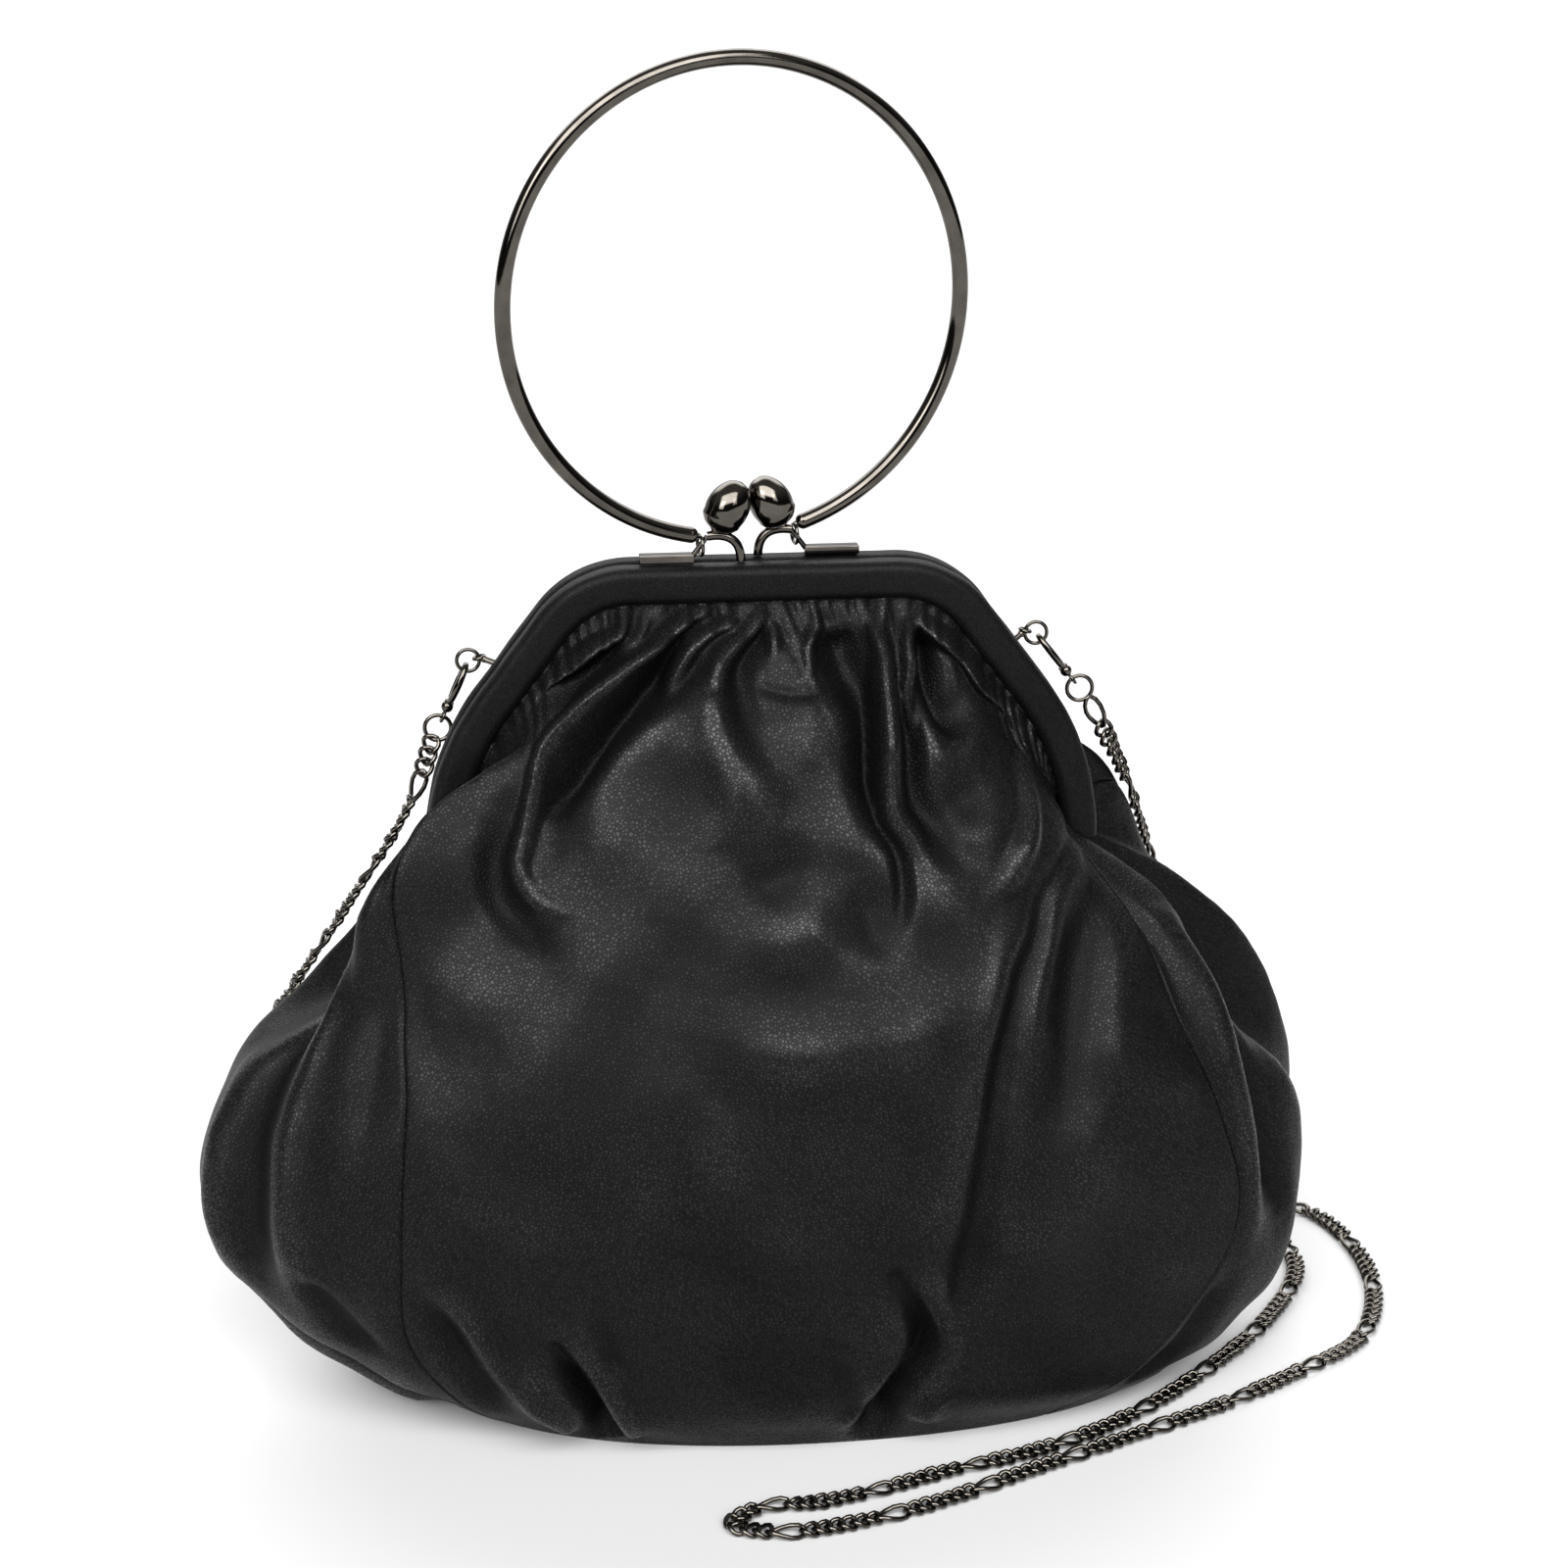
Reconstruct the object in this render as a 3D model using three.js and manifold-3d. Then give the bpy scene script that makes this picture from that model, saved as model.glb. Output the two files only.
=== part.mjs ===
// Clasp pouch: a soft black leather pouch gathered into a leather-covered purse frame, with a kiss-lock
// clasp, an open ring handle that swings on the legs of the clasp, and a shoulder chain on two hooks.
// Millimetres, +Z up, front towards -Y, origin on the underside of the base.
import * as THREE from "three";
import { mergeVertices } from "three/addons/utils/BufferGeometryUtils.js";
import Module from "manifold-3d";

const wasm = await Module();
wasm.setup();

const { degToRad, clamp, lerp, smoothstep } = THREE.MathUtils;
const vec = (x, y, z) => new THREE.Vector3(x, y, z);

// Driving dimensions

const GAP = 0.3; // left between neighbouring pieces

const LEATHER = { wall: 1.6, seamGap: 0.5 };

// The purse frame: each half is a leather-covered rail that runs flat over the top, turns a corner and
// spreads down to a hinge.
const RAIL = {
  topZ: 237,
  flatHalf: 36,
  cornerRadius: 26,
  cornerTurn: degToRad(53),
  sideLength: 28,
  lowerRadius: 70,
  height: 10.4,
  depth: 8.6,
  edgeRadius: 3.2,
  steps: 26,
};
const RAIL_Y = (RAIL.depth + GAP) / 2;
const RAIL_TOP = RAIL.topZ + RAIL.height / 2;
const HINGE = { width: 6, depth: 10 };

// The clasp: each half is a bar on top of its rail, an arch beside the bar and an acorn knob on the arch.
// Distances across are from the middle of the clasp.
const CLASP = {
  x: -3.4,
  y: 2.8,
  barInner: 15.2,
  barOuter: 30,
  barDepth: 4,
  barThick: 2.3,
  legFoot: 16.2,
  archTop: 11.6,
  archHeight: 7.2,
  innerFoot: 2.6,
  outerWire: 0.75,
  innerWire: 1.3,
  knobInside: 1.2,
  knobTilt: degToRad(30),
  knobTowardsMiddle: degToRad(3),
};
const BAR_BOTTOM = RAIL_TOP + GAP;
const LEG_Z = BAR_BOTTOM + CLASP.outerWire;
const ARCH_Z = RAIL_TOP + CLASP.archHeight;
const KNOB = [
  { radius: 0, along: -0.5 },
  { radius: 0.6, along: -0.4 },
  { radius: 0.75, along: 1.2 },
  { radius: 3.9, along: 2.9 },
  { radius: 5.6, along: 5.0 },
  { radius: 5.9, along: 8.2 },
  { radius: 5.4, along: 11.6 },
  { radius: 3.8, along: 14.6 },
  { radius: 0, along: 16.6 },
];

// The handle: an open ring whose ends carry eyes round the outer legs of the clasp.
const HANDLE = {
  radius: 63.1,
  wire: 2.2,
  axisZ: 247.5,
  eyeRise: 0.6,
  eyeRadius: 2.65,
  eyeWire: 0.5,
  endBeyondEye: 2.6,
  endAboveAxis: 3.2,
  neckWire: 0.8,
  steps: 32,
};

// Side hardware: a post with an eye on the back rail, a jump ring, a lobster hook with a sprung lever, and
// the jump ring at the end of the chain. One row for each side.
const SIDES = [
  { name: "left", sign: -1, ringX: 79.5, ringZ: 212.5, hookTilt: degToRad(25), railX: 69.8, railZ: 211.5 },
  { name: "right", sign: 1, ringX: 78.0, ringZ: 215.5, hookTilt: degToRad(38), railX: 69.0, railZ: 212.5 },
];
const HARDWARE_Y = 13;
const SIDE_RING = { radius: 3.1, wire: 0.55 };
const END_RING = { radius: 3.6, wire: 0.6 };
const POST = { eyeRadius: 1.5, eyeWire: 0.5, wire: 0.9, aboveRing: degToRad(14.5) };
const HOOK = {
  halfWidth: 3,
  halfLength: 5.6,
  wire: 0.9,
  topAboveRing: 1.6,
  noseAt: degToRad(70),
  ballRadius: 1.7,
  ballAt: 11.2,
  eyeAt: 14.2,
  eyeRadius: 1.5,
  eyeWire: 0.5,
  leverTip: degToRad(80),
  leverPivot: degToRad(145),
  leverWire: 0.75,
};

// The shoulder chain's way, end to end: down the left side, behind the pouch, out past its right side to a
// bight in front, back beside itself and up the right side.
const CHAIN_RADIUS = 2;
const CHAIN_FLOOR = CHAIN_RADIUS + GAP / 3;
const CHAIN_STEPS = 72;
const CHAIN_DOWN_LEFT = [
  [-94, 14, 178], [-101, 17, 163], [-110, 21, 148], [-119, 26, 133], [-130, 32, 115], [-140, 40, 97],
  [-147, 52, 77], [-147, 66, 54], [-138, 80, 30], [-120, 90, 10],
];
const CHAIN_ON_FLOOR = [
  [-98, 94], [-60, 95], [0, 95], [60, 95], [120, 95], [160, 92], [184, 80], [192, 52], [189, 20], [176, -8],
  [155, -24], [128, -41], [96, -57], [65, -72], [39, -85], [16, -93], [-5, -96], [-18, -91], [-10, -83],
  [6, -82], [24, -77], [42, -70], [70, -61], [98, -46], [130, -18], [154, 10], [170, 40], [170, 66],
];
const CHAIN_UP_RIGHT = [
  [160, 82, 12], [148, 80, 42], [138, 68, 80], [127, 50, 116], [115, 33, 149], [107, 22, 169], [99, 15, 185],
];

// The pouch: its levels from the rim to the edge of the base. way is the row's place between the two,
// height its height at the sides as a share of the rim's there, arch the share of the frame's arch still
// left in it, spread and leave how far it has left the rim sideways and forwards, and tuck how far the
// sides fold in.
const LEVELS = [
  {
    way: 0.0, height: 1.0, arch: 1.0, spread: 0.0, leave: 0.0,
    halfWidth: 112, shift: 0, halfDepth: 40, tuckLeft: 18, tuckRight: 18,
  },
  {
    way: 0.1, height: 0.905, arch: 0.93, spread: 0.56, leave: 0.32,
    halfWidth: 130, shift: 3, halfDepth: 50, tuckLeft: 38, tuckRight: 38,
  },
  {
    way: 0.22, height: 0.79, arch: 0.78, spread: 0.87, leave: 0.58,
    halfWidth: 142, shift: 6, halfDepth: 57, tuckLeft: 42, tuckRight: 42,
  },
  {
    way: 0.36, height: 0.655, arch: 0.54, spread: 0.98, leave: 0.82,
    halfWidth: 154, shift: 4, halfDepth: 62, tuckLeft: 28, tuckRight: 34,
  },
  {
    way: 0.5, height: 0.52, arch: 0.3, spread: 1.0, leave: 0.96,
    halfWidth: 161, shift: 1, halfDepth: 65, tuckLeft: 12, tuckRight: 26,
  },
  {
    way: 0.64, height: 0.375, arch: 0.12, spread: 1.0, leave: 1.0,
    halfWidth: 164, shift: 1, halfDepth: 66, tuckLeft: 4, tuckRight: 20,
  },
  {
    way: 0.78, height: 0.22, arch: 0.04, spread: 1.0, leave: 1.0,
    halfWidth: 160, shift: 4, halfDepth: 64, tuckLeft: 4, tuckRight: 15,
  },
  {
    way: 0.9, height: 0.08, arch: 0.01, spread: 1.0, leave: 1.0,
    halfWidth: 143, shift: 8, halfDepth: 57, tuckLeft: 4, tuckRight: 9,
  },
  {
    way: 1.0, height: 0.0, arch: 0.0, spread: 1.0, leave: 1.0,
    halfWidth: 117, shift: 9, halfDepth: 46, tuckLeft: 2, tuckRight: 4,
  },
];
const SEAM = 44; // the angle from the middle of the front or back to its side seams
const POUCH = {
  squareness: 2.15,
  rimBelow: 0.4,
  rimTrim: 12,
  rimY: 5.8,
  tuckDrop: 6,
  tuckWidth: 27,
  tuckAt: 87,
  baseSeamY: 14,
  bottomCurve: 0.6,
};

// Where the leather swells past the frame beside a hinge: the middle of the swelling round the pouch and down
// its wall, how far it reaches round and down, and how far it moves the leather.
const PUFFS = [
  { angle: -43, turn: 18, way: 0.09, reach: 0.22, outwards: 12, forwards: 6, up: 13 },
  { angle: 137, turn: 18, way: 0.09, reach: 0.22, outwards: 13, forwards: 6, up: 14 },
];

// Folds on the front, each a curve through a start, a control point and an end, in the X-Z view. A positive
// rise is a ridge, a negative one a valley.
const FOLDS = [
  { x0: -14, z0: 224, x1: -64, z1: 200, x2: -58, z2: 140, rise: 5.5, width: 10 },
  { x0: -26, z0: 208, x1: -52, z1: 184, x2: -46, z2: 146, rise: -4.0, width: 9 },
  { x0: -48, z0: 222, x1: -70, z1: 212, x2: -78, z2: 186, rise: 2.5, width: 7 },
  { x0: -12, z0: 212, x1: -4, z1: 182, x2: -8, z2: 150, rise: 4.0, width: 14 },
  { x0: -2, z0: 206, x1: 14, z1: 203, x2: 28, z2: 206, rise: -1.6, width: 7 },
  { x0: 50, z0: 226, x1: 36, z1: 195, x2: 50, z2: 146, rise: 5.5, width: 9 },
  { x0: 34, z0: 210, x1: 24, z1: 185, x2: 36, z2: 152, rise: -3.5, width: 8 },
  { x0: 54, z0: 218, x1: 62, z1: 195, x2: 76, z2: 176, rise: 3.5, width: 8 },
  { x0: 82, z0: 150, x1: 78, z1: 90, x2: 44, z2: 20, rise: -4.0, width: 15 },
  { x0: -52, z0: 26, x1: -44, z1: 14, x2: -40, z2: 2, rise: -3.5, width: 8 },
  { x0: 42, z0: 40, x1: 42, z1: 22, x2: 34, z2: 2, rise: -3.5, width: 8 },
];
const FOLD_ENDS = { points: 32, fadeIn: 0.2, fadeOut: 0.7, atStart: 0.35, lostAtEnd: 0.85 };

// The small gathers under the frame, unevenly spaced, dying away down the wall.
const GATHERS = { count: 11, rise: 1.8, wayDown: 0.13, sway: 0.8, swayTurn: 3.1, swayStart: 0.7 };

// Where folds and gathers end: near a seam, in degrees, below the rim and above the base.
const SMOOTH = { seam: 6, rim: 0.06, base: 0.93 };

// The panels: the angles they span, how far inside these their edges keep, where they start below the rim,
// and how finely each is divided across, down its wall and over its base.
const TO_BACK = 180 - SEAM;
const PANELS = [
  { name: "front_panel", from: -SEAM, to: SEAM, inset: 0.15, start: 0, across: 42, down: 16, base: 2 },
  { name: "gusset_right", from: SEAM, to: TO_BACK, inset: 1.3, start: 0.07, across: 14, down: 9, base: 1 },
  { name: "back_panel", from: TO_BACK, to: 180 + SEAM, inset: 0.15, start: 0, across: 26, down: 10, base: 2 },
  { name: "gusset_left", from: -TO_BACK, to: -SEAM, inset: 1.3, start: 0.07, across: 14, down: 9, base: 1 },
];
const CROWD_UP = 1.45; // rows lie closer together towards the rim

// Finishes

const blackLeather = () => new THREE.MeshStandardMaterial({ color: 0x17171a, roughness: 0.5, metalness: 0 });
const gunmetal = () => new THREE.MeshStandardMaterial({ color: 0x3d3633, roughness: 0.22, metalness: 1 });

// Solids

// A closed geometry with shared vertices and its faces pointing out.
function closed(geometry) {
  const bare = geometry.clone();
  bare.deleteAttribute("normal");
  bare.deleteAttribute("uv");
  const merged = mergeVertices(bare, 1e-4);
  const place = merged.getAttribute("position");
  const index = merged.getIndex().array;
  const corner = [vec(0, 0, 0), vec(0, 0, 0), vec(0, 0, 0)];
  let volume = 0;
  for (let i = 0; i < index.length; i += 3) {
    corner.forEach((point, k) => point.fromBufferAttribute(place, index[i + k]));
    volume += corner[0].dot(corner[1].clone().cross(corner[2])) / 6;
  }
  if (volume < 0) {
    for (let i = 0; i < index.length; i += 3) {
      [index[i + 1], index[i + 2]] = [index[i + 2], index[i + 1]];
    }
  }
  return merged;
}

// Pieces soldered together into one solid.
function soldered(...geometries) {
  const solids = geometries.map((geometry) => {
    const shell = closed(geometry);
    const vertProperties = new Float32Array(shell.getAttribute("position").array);
    const triVerts = new Uint32Array(shell.getIndex().array);
    return new wasm.Manifold(new wasm.Mesh({ numProp: 3, vertProperties, triVerts }));
  });
  const mesh = solids.reduce((whole, next) => whole.add(next)).getMesh();
  const joined = new THREE.BufferGeometry();
  joined.setAttribute("position", new THREE.BufferAttribute(mesh.vertProperties, 3));
  joined.setIndex(new THREE.BufferAttribute(mesh.triVerts, 1));
  return joined;
}

function roundSection(radius, sides) {
  const points = [];
  for (let k = 0; k < sides; k += 1) {
    const angle = (2 * Math.PI * (k + 0.5)) / sides;
    points.push(new THREE.Vector2(radius * Math.cos(angle), radius * Math.sin(angle)));
  }
  return new THREE.Shape(points);
}

function wireAlong(extrudePath, radius, sides, steps) {
  return closed(new THREE.ExtrudeGeometry(roundSection(radius, sides), { steps, extrudePath }));
}

function eye(radius, wire, sides = 10) {
  return closed(new THREE.TorusGeometry(radius, wire, 5, sides));
}

function piece(name, geometry, material) {
  const mesh = new THREE.Mesh(geometry, material);
  mesh.name = name;
  return mesh;
}

// The frame

// The line of a rail from hinge to hinge, at a distance outside its centre line.
class RailPath extends THREE.Curve {
  constructor(outside, y, trim = 0) {
    super();
    this.y = y;
    this.startZ = RAIL.topZ + outside;
    const lowerTurn = Math.PI / 2 - RAIL.cornerTurn;
    this.stretches = [
      { length: RAIL.flatHalf, radius: 0 },
      { length: (RAIL.cornerRadius + outside) * RAIL.cornerTurn, radius: RAIL.cornerRadius + outside },
      { length: RAIL.sideLength, radius: 0 },
      { length: (RAIL.lowerRadius + outside) * lowerTurn - trim, radius: RAIL.lowerRadius + outside },
    ];
    this.half = this.stretches.reduce((sum, stretch) => sum + stretch.length, 0);
  }

  getPoint(t) {
    const signed = (2 * t - 1) * this.half;
    let left = Math.abs(signed);
    let heading = 0;
    let x = 0;
    let z = this.startZ;
    for (const { length, radius } of this.stretches) {
      const run = Math.min(left, length);
      left -= run;
      if (radius > 0) {
        const next = heading + run / radius;
        x += radius * (Math.sin(next) - Math.sin(heading));
        z += radius * (Math.cos(next) - Math.cos(heading));
        heading = next;
      } else {
        x += run * Math.cos(heading);
        z -= run * Math.sin(heading);
      }
    }
    return vec(Math.sign(signed) * x, this.y, z);
  }
}

function railSection() {
  const x = RAIL.depth / 2 - RAIL.edgeRadius;
  const y = RAIL.height / 2 - RAIL.edgeRadius;
  const section = new THREE.Shape();
  section.absarc(x, y, RAIL.edgeRadius, 0, Math.PI / 2);
  section.absarc(-x, y, RAIL.edgeRadius, Math.PI / 2, Math.PI);
  section.absarc(-x, -y, RAIL.edgeRadius, Math.PI, 1.5 * Math.PI);
  section.absarc(x, -y, RAIL.edgeRadius, 1.5 * Math.PI, 2 * Math.PI);
  return section;
}

function frameHalf(name, y) {
  const options = { steps: RAIL.steps, curveSegments: 1, extrudePath: new RailPath(0, y) };
  return piece(name, closed(new THREE.ExtrudeGeometry(railSection(), options)), blackLeather());
}

function hinge(name, sign) {
  const end = new RailPath(0, 0).getPoint(1);
  const half = HINGE.depth / 2;
  const knuckle = new THREE.Shape();
  knuckle.moveTo(half, 0);
  knuckle.lineTo(-half, 0);
  knuckle.absarc(0, 0, half, Math.PI, 2 * Math.PI);
  const options = { depth: HINGE.width, bevelEnabled: false, curveSegments: 5 };
  const geometry = new THREE.ExtrudeGeometry(knuckle, options);
  geometry.applyMatrix4(new THREE.Matrix4().makeBasis(vec(0, 1, 0), vec(0, 0, 1), vec(1, 0, 0)));
  const mesh = piece(name, closed(geometry), gunmetal());
  mesh.position.set(sign * end.x - HINGE.width / 2, 0, end.z - GAP);
  return mesh;
}

// The clasp and the handle

// A point on the outer leg of a clasp half at a height, on the half's own side of the middle.
function legAt(z) {
  const share = (z - LEG_Z) / (ARCH_Z - LEG_Z);
  return lerp(CLASP.legFoot, CLASP.archTop, share);
}

function claspHalf(name, sign) {
  const barRound = CLASP.barDepth / 2;
  const outline = new THREE.Shape();
  outline.moveTo(CLASP.barInner, -barRound);
  outline.lineTo(CLASP.barOuter - barRound, -barRound);
  outline.absarc(CLASP.barOuter - barRound, 0, barRound, -Math.PI / 2, Math.PI / 2);
  outline.lineTo(CLASP.barInner, barRound);
  const options = { depth: CLASP.barThick, bevelEnabled: false, curveSegments: 6 };
  const bar = new THREE.ExtrudeGeometry(outline, options);
  bar.translate(0, 0, BAR_BOTTOM);

  const foot = vec(CLASP.legFoot, 0, LEG_Z);
  const top = vec(CLASP.archTop, 0, ARCH_Z);
  const outerLeg = wireAlong(new THREE.LineCurve3(foot, top), CLASP.outerWire, 8, 2);

  const innerFoot = vec(CLASP.innerFoot, 0, BAR_BOTTOM);
  const bend = vec(CLASP.innerFoot, 0, ARCH_Z + CLASP.innerWire);
  const innerLeg = wireAlong(new THREE.QuadraticBezierCurve3(top, bend, innerFoot), CLASP.innerWire, 8, 6);

  const profile = KNOB.map(({ radius, along }) => new THREE.Vector2(radius, along));
  const knob = new THREE.LatheGeometry(profile, 10);
  knob.rotateX(Math.PI / 2);
  knob.rotateX(CLASP.knobTowardsMiddle);
  knob.rotateY(-CLASP.knobTilt);
  knob.translate(top.x - CLASP.knobInside, 0, top.z);

  const mesh = piece(name, soldered(bar, outerLeg, innerLeg, knob), gunmetal());
  mesh.position.set(CLASP.x, sign * CLASP.y, 0);
  mesh.rotation.z = sign > 0 ? 0 : Math.PI;
  return mesh;
}

// The open ring from eye to eye, upright over the line through both eyes.
class HandlePath extends THREE.Curve {
  constructor(halfOpening) {
    super();
    this.rise = HANDLE.endAboveAxis + Math.sqrt(HANDLE.radius ** 2 - halfOpening ** 2);
    this.open = Math.asin(halfOpening / HANDLE.radius);
  }

  getPoint(t) {
    const angle = lerp(this.open, 2 * Math.PI - this.open, t);
    return vec(-HANDLE.radius * Math.sin(angle), 0, this.rise - HANDLE.radius * Math.cos(angle));
  }
}

// The middle of an eye, on the outer leg of its clasp half. The handle leans a little to the left.
function eyeCentre(sign) {
  const z = HANDLE.axisZ + sign * HANDLE.eyeRise;
  return vec(CLASP.x + sign * legAt(z), sign * CLASP.y, z);
}

function ringHandle() {
  const left = eyeCentre(-1);
  const right = eyeCentre(1);
  const halfSpan = left.distanceTo(right) / 2;
  const halfOpening = halfSpan + HANDLE.endBeyondEye;
  const ring = wireAlong(new HandlePath(halfOpening), HANDLE.wire, 8, HANDLE.steps);
  const ends = [-1, 1].flatMap((sign) => {
    const loop = eye(HANDLE.eyeRadius, HANDLE.eyeWire);
    loop.rotateY(Math.PI / 2);
    loop.translate(sign * halfSpan, 0, 0);
    const neck = new THREE.QuadraticBezierCurve3(
      vec(sign * halfSpan, 0, HANDLE.eyeRadius),
      vec(sign * (halfSpan + HANDLE.endBeyondEye / 2), 0, HANDLE.eyeRadius),
      vec(sign * (halfOpening + HANDLE.wire), 0, HANDLE.endAboveAxis + HANDLE.neckWire),
    );
    return [loop, wireAlong(neck, HANDLE.neckWire, 6, 3)];
  });
  const mesh = piece("ring_handle", soldered(ring, ...ends), gunmetal());
  const along = right.clone().sub(left).normalize();
  const across = vec(0, 0, 1).cross(along).normalize();
  const upright = along.clone().cross(across);
  mesh.position.copy(left).lerp(right, 0.5);
  mesh.quaternion.setFromRotationMatrix(new THREE.Matrix4().makeBasis(along, across, upright));
  return mesh;
}

// The side hardware

// A stretch of the hook's oval, from angle to angle, measured from its top towards the lever.
class HookOval extends THREE.Curve {
  constructor(from, to) {
    super();
    this.from = from;
    this.to = to;
  }

  getPoint(t) {
    const angle = lerp(this.from, this.to, t);
    const middle = HOOK.topAboveRing - HOOK.halfLength;
    return vec(HOOK.halfWidth * Math.sin(angle), middle + HOOK.halfLength * Math.cos(angle), 0);
  }
}

function hookBody() {
  const bow = wireAlong(new HookOval(-Math.PI, HOOK.noseAt), HOOK.wire, 6, 10);
  const bottom = new HookOval(0, Math.PI).getPoint(1);
  const neck = wireAlong(new THREE.LineCurve3(bottom, vec(0, -HOOK.ballAt, 0)), HOOK.wire, 6, 1);
  const ball = new THREE.SphereGeometry(HOOK.ballRadius, 8, 4);
  ball.translate(0, -HOOK.ballAt, 0);
  const loop = eye(HOOK.eyeRadius, HOOK.eyeWire);
  loop.translate(0, -HOOK.eyeAt, 0);
  return soldered(bow, neck, ball, loop);
}

function sideHardware({ name, sign, ringX, ringZ, hookTilt, railX, railZ }) {
  const ringCentre = vec(sign * ringX, HARDWARE_Y, ringZ);
  const hang = vec(sign * Math.sin(hookTilt), 0, -Math.cos(hookTilt));

  const group = new THREE.Group();
  const sideRing = piece(`side_ring_${name}`, eye(SIDE_RING.radius, SIDE_RING.wire, 12), gunmetal());
  sideRing.position.copy(ringCentre);
  sideRing.rotation.x = Math.PI / 2;
  group.add(sideRing);

  const towardsRail = vec(-sign * Math.cos(POST.aboveRing), 0, Math.sin(POST.aboveRing));
  const eyeCentre = ringCentre.clone().addScaledVector(towardsRail, SIDE_RING.radius);
  const railFace = vec(sign * railX, RAIL_Y + RAIL.depth / 2 + GAP + POST.wire / 2, railZ);
  const stem = railFace.clone().sub(eyeCentre).normalize();
  const loop = eye(POST.eyeRadius, POST.eyeWire);
  const round = towardsRail.clone().cross(vec(0, 1, 0));
  loop.applyQuaternion(new THREE.Quaternion().setFromUnitVectors(vec(0, 0, 1), round));
  loop.translate(eyeCentre.x, eyeCentre.y, eyeCentre.z);
  const stemStart = eyeCentre.clone().addScaledVector(stem, POST.eyeRadius);
  const shank = wireAlong(new THREE.LineCurve3(stemStart, railFace), POST.wire, 6, 1);
  group.add(piece(`post_${name}`, soldered(loop, shank), gunmetal()));

  const hook = new THREE.Group();
  hook.position.copy(ringCentre).addScaledVector(hang, SIDE_RING.radius);
  const across = vec(0, 1, 0);
  const up = hang.clone().negate();
  const outOfPlane = across.clone().cross(up);
  hook.quaternion.setFromRotationMatrix(new THREE.Matrix4().makeBasis(across, up, outOfPlane));
  hook.add(piece(`hook_${name}`, hookBody(), gunmetal()));
  const leverPath = new HookOval(HOOK.leverTip, HOOK.leverPivot);
  hook.add(piece(`hook_lever_${name}`, wireAlong(leverPath, HOOK.leverWire, 6, 4), gunmetal()));
  const endRing = piece(`end_ring_${name}`, eye(END_RING.radius, END_RING.wire, 12), gunmetal());
  endRing.position.set(0, -HOOK.eyeAt - END_RING.radius, 0);
  endRing.rotation.y = Math.PI / 2;
  hook.add(endRing);
  group.add(hook);
  return group;
}

// Where the chain starts, just past the end ring of a side.
function chainEnd({ sign, ringX, ringZ, hookTilt }) {
  const hang = vec(sign * Math.sin(hookTilt), 0, -Math.cos(hookTilt));
  const reach = SIDE_RING.radius + HOOK.eyeAt + 2 * END_RING.radius + END_RING.wire + GAP;
  return vec(sign * ringX, HARDWARE_Y, ringZ).addScaledVector(hang, reach);
}

function shoulderChain() {
  const way = [
    chainEnd(SIDES[0]),
    ...CHAIN_DOWN_LEFT.map((point) => vec(...point)),
    ...CHAIN_ON_FLOOR.map(([x, y]) => vec(x, y, CHAIN_FLOOR)),
    ...CHAIN_UP_RIGHT.map((point) => vec(...point)),
    chainEnd(SIDES[1]),
  ];
  const path = new THREE.CatmullRomCurve3(way, false, "centripetal");
  return piece("shoulder_chain", wireAlong(path, CHAIN_RADIUS, 8, CHAIN_STEPS), gunmetal());
}

// The leather pouch

// A column of the table of levels at a place between rim and base, smoothly between its rows.
function levelAt(column, way) {
  const last = LEVELS.length - 1;
  const found = LEVELS.findIndex((row) => row.way > way);
  const k = clamp(found < 0 ? last - 1 : found - 1, 0, last - 1);
  const [before, low, high, after] = [k - 1, k, k + 1, k + 2].map((i) => LEVELS[clamp(i, 0, last)]);
  const span = high.way - low.way;
  const slopeLow = ((high[column] - before[column]) / (high.way - before.way)) * span;
  const slopeHigh = ((after[column] - low[column]) / (after.way - low.way)) * span;
  const t = (way - low.way) / span;
  const t2 = t * t;
  const t3 = t2 * t;
  return (
    (2 * t3 - 3 * t2 + 1) * low[column] +
    (t3 - 2 * t2 + t) * slopeLow +
    (3 * t2 - 2 * t3) * high[column] +
    (t3 - t2) * slopeHigh
  );
}

const rimPath = new RailPath(-RAIL.height / 2 - POUCH.rimBelow, 0, POUCH.rimTrim);
const rimEnd = rimPath.getPoint(1);

// How far an angle round the pouch is from the front, and on which side: 0 in front, 180 at the back.
function roundFromFront(angle) {
  const turned = THREE.MathUtils.euclideanModulo(angle + 180, 360) - 180;
  return { side: turned < 0 ? -1 : 1, away: Math.abs(turned) };
}

// How much of a side fold an angle feels: 1 in the middle of a gusset.
function tuckShare(away, middle, width) {
  const share = clamp((away - middle) / width, -1, 1);
  return Math.cos((share * Math.PI) / 2) ** 2;
}

function rimPoint({ side, away }) {
  if (away <= SEAM || away >= TO_BACK) {
    const fromMiddle = Math.min(away, 180 - away) / SEAM;
    const point = rimPath.getPoint((1 + side * fromMiddle) / 2);
    point.y = away < 90 ? -POUCH.rimY : POUCH.rimY;
    return point;
  }
  const turn = (away - 90) / (90 - SEAM);
  const tuck = tuckShare(away, 90, 90 - SEAM);
  const x = side * (rimEnd.x - LEVELS[0].tuckLeft * tuck);
  return vec(x, POUCH.rimY * turn, rimEnd.z - POUCH.tuckDrop * tuck);
}

const bent = (value) => Math.sign(value) * Math.abs(value) ** (2 / POUCH.squareness);

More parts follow.
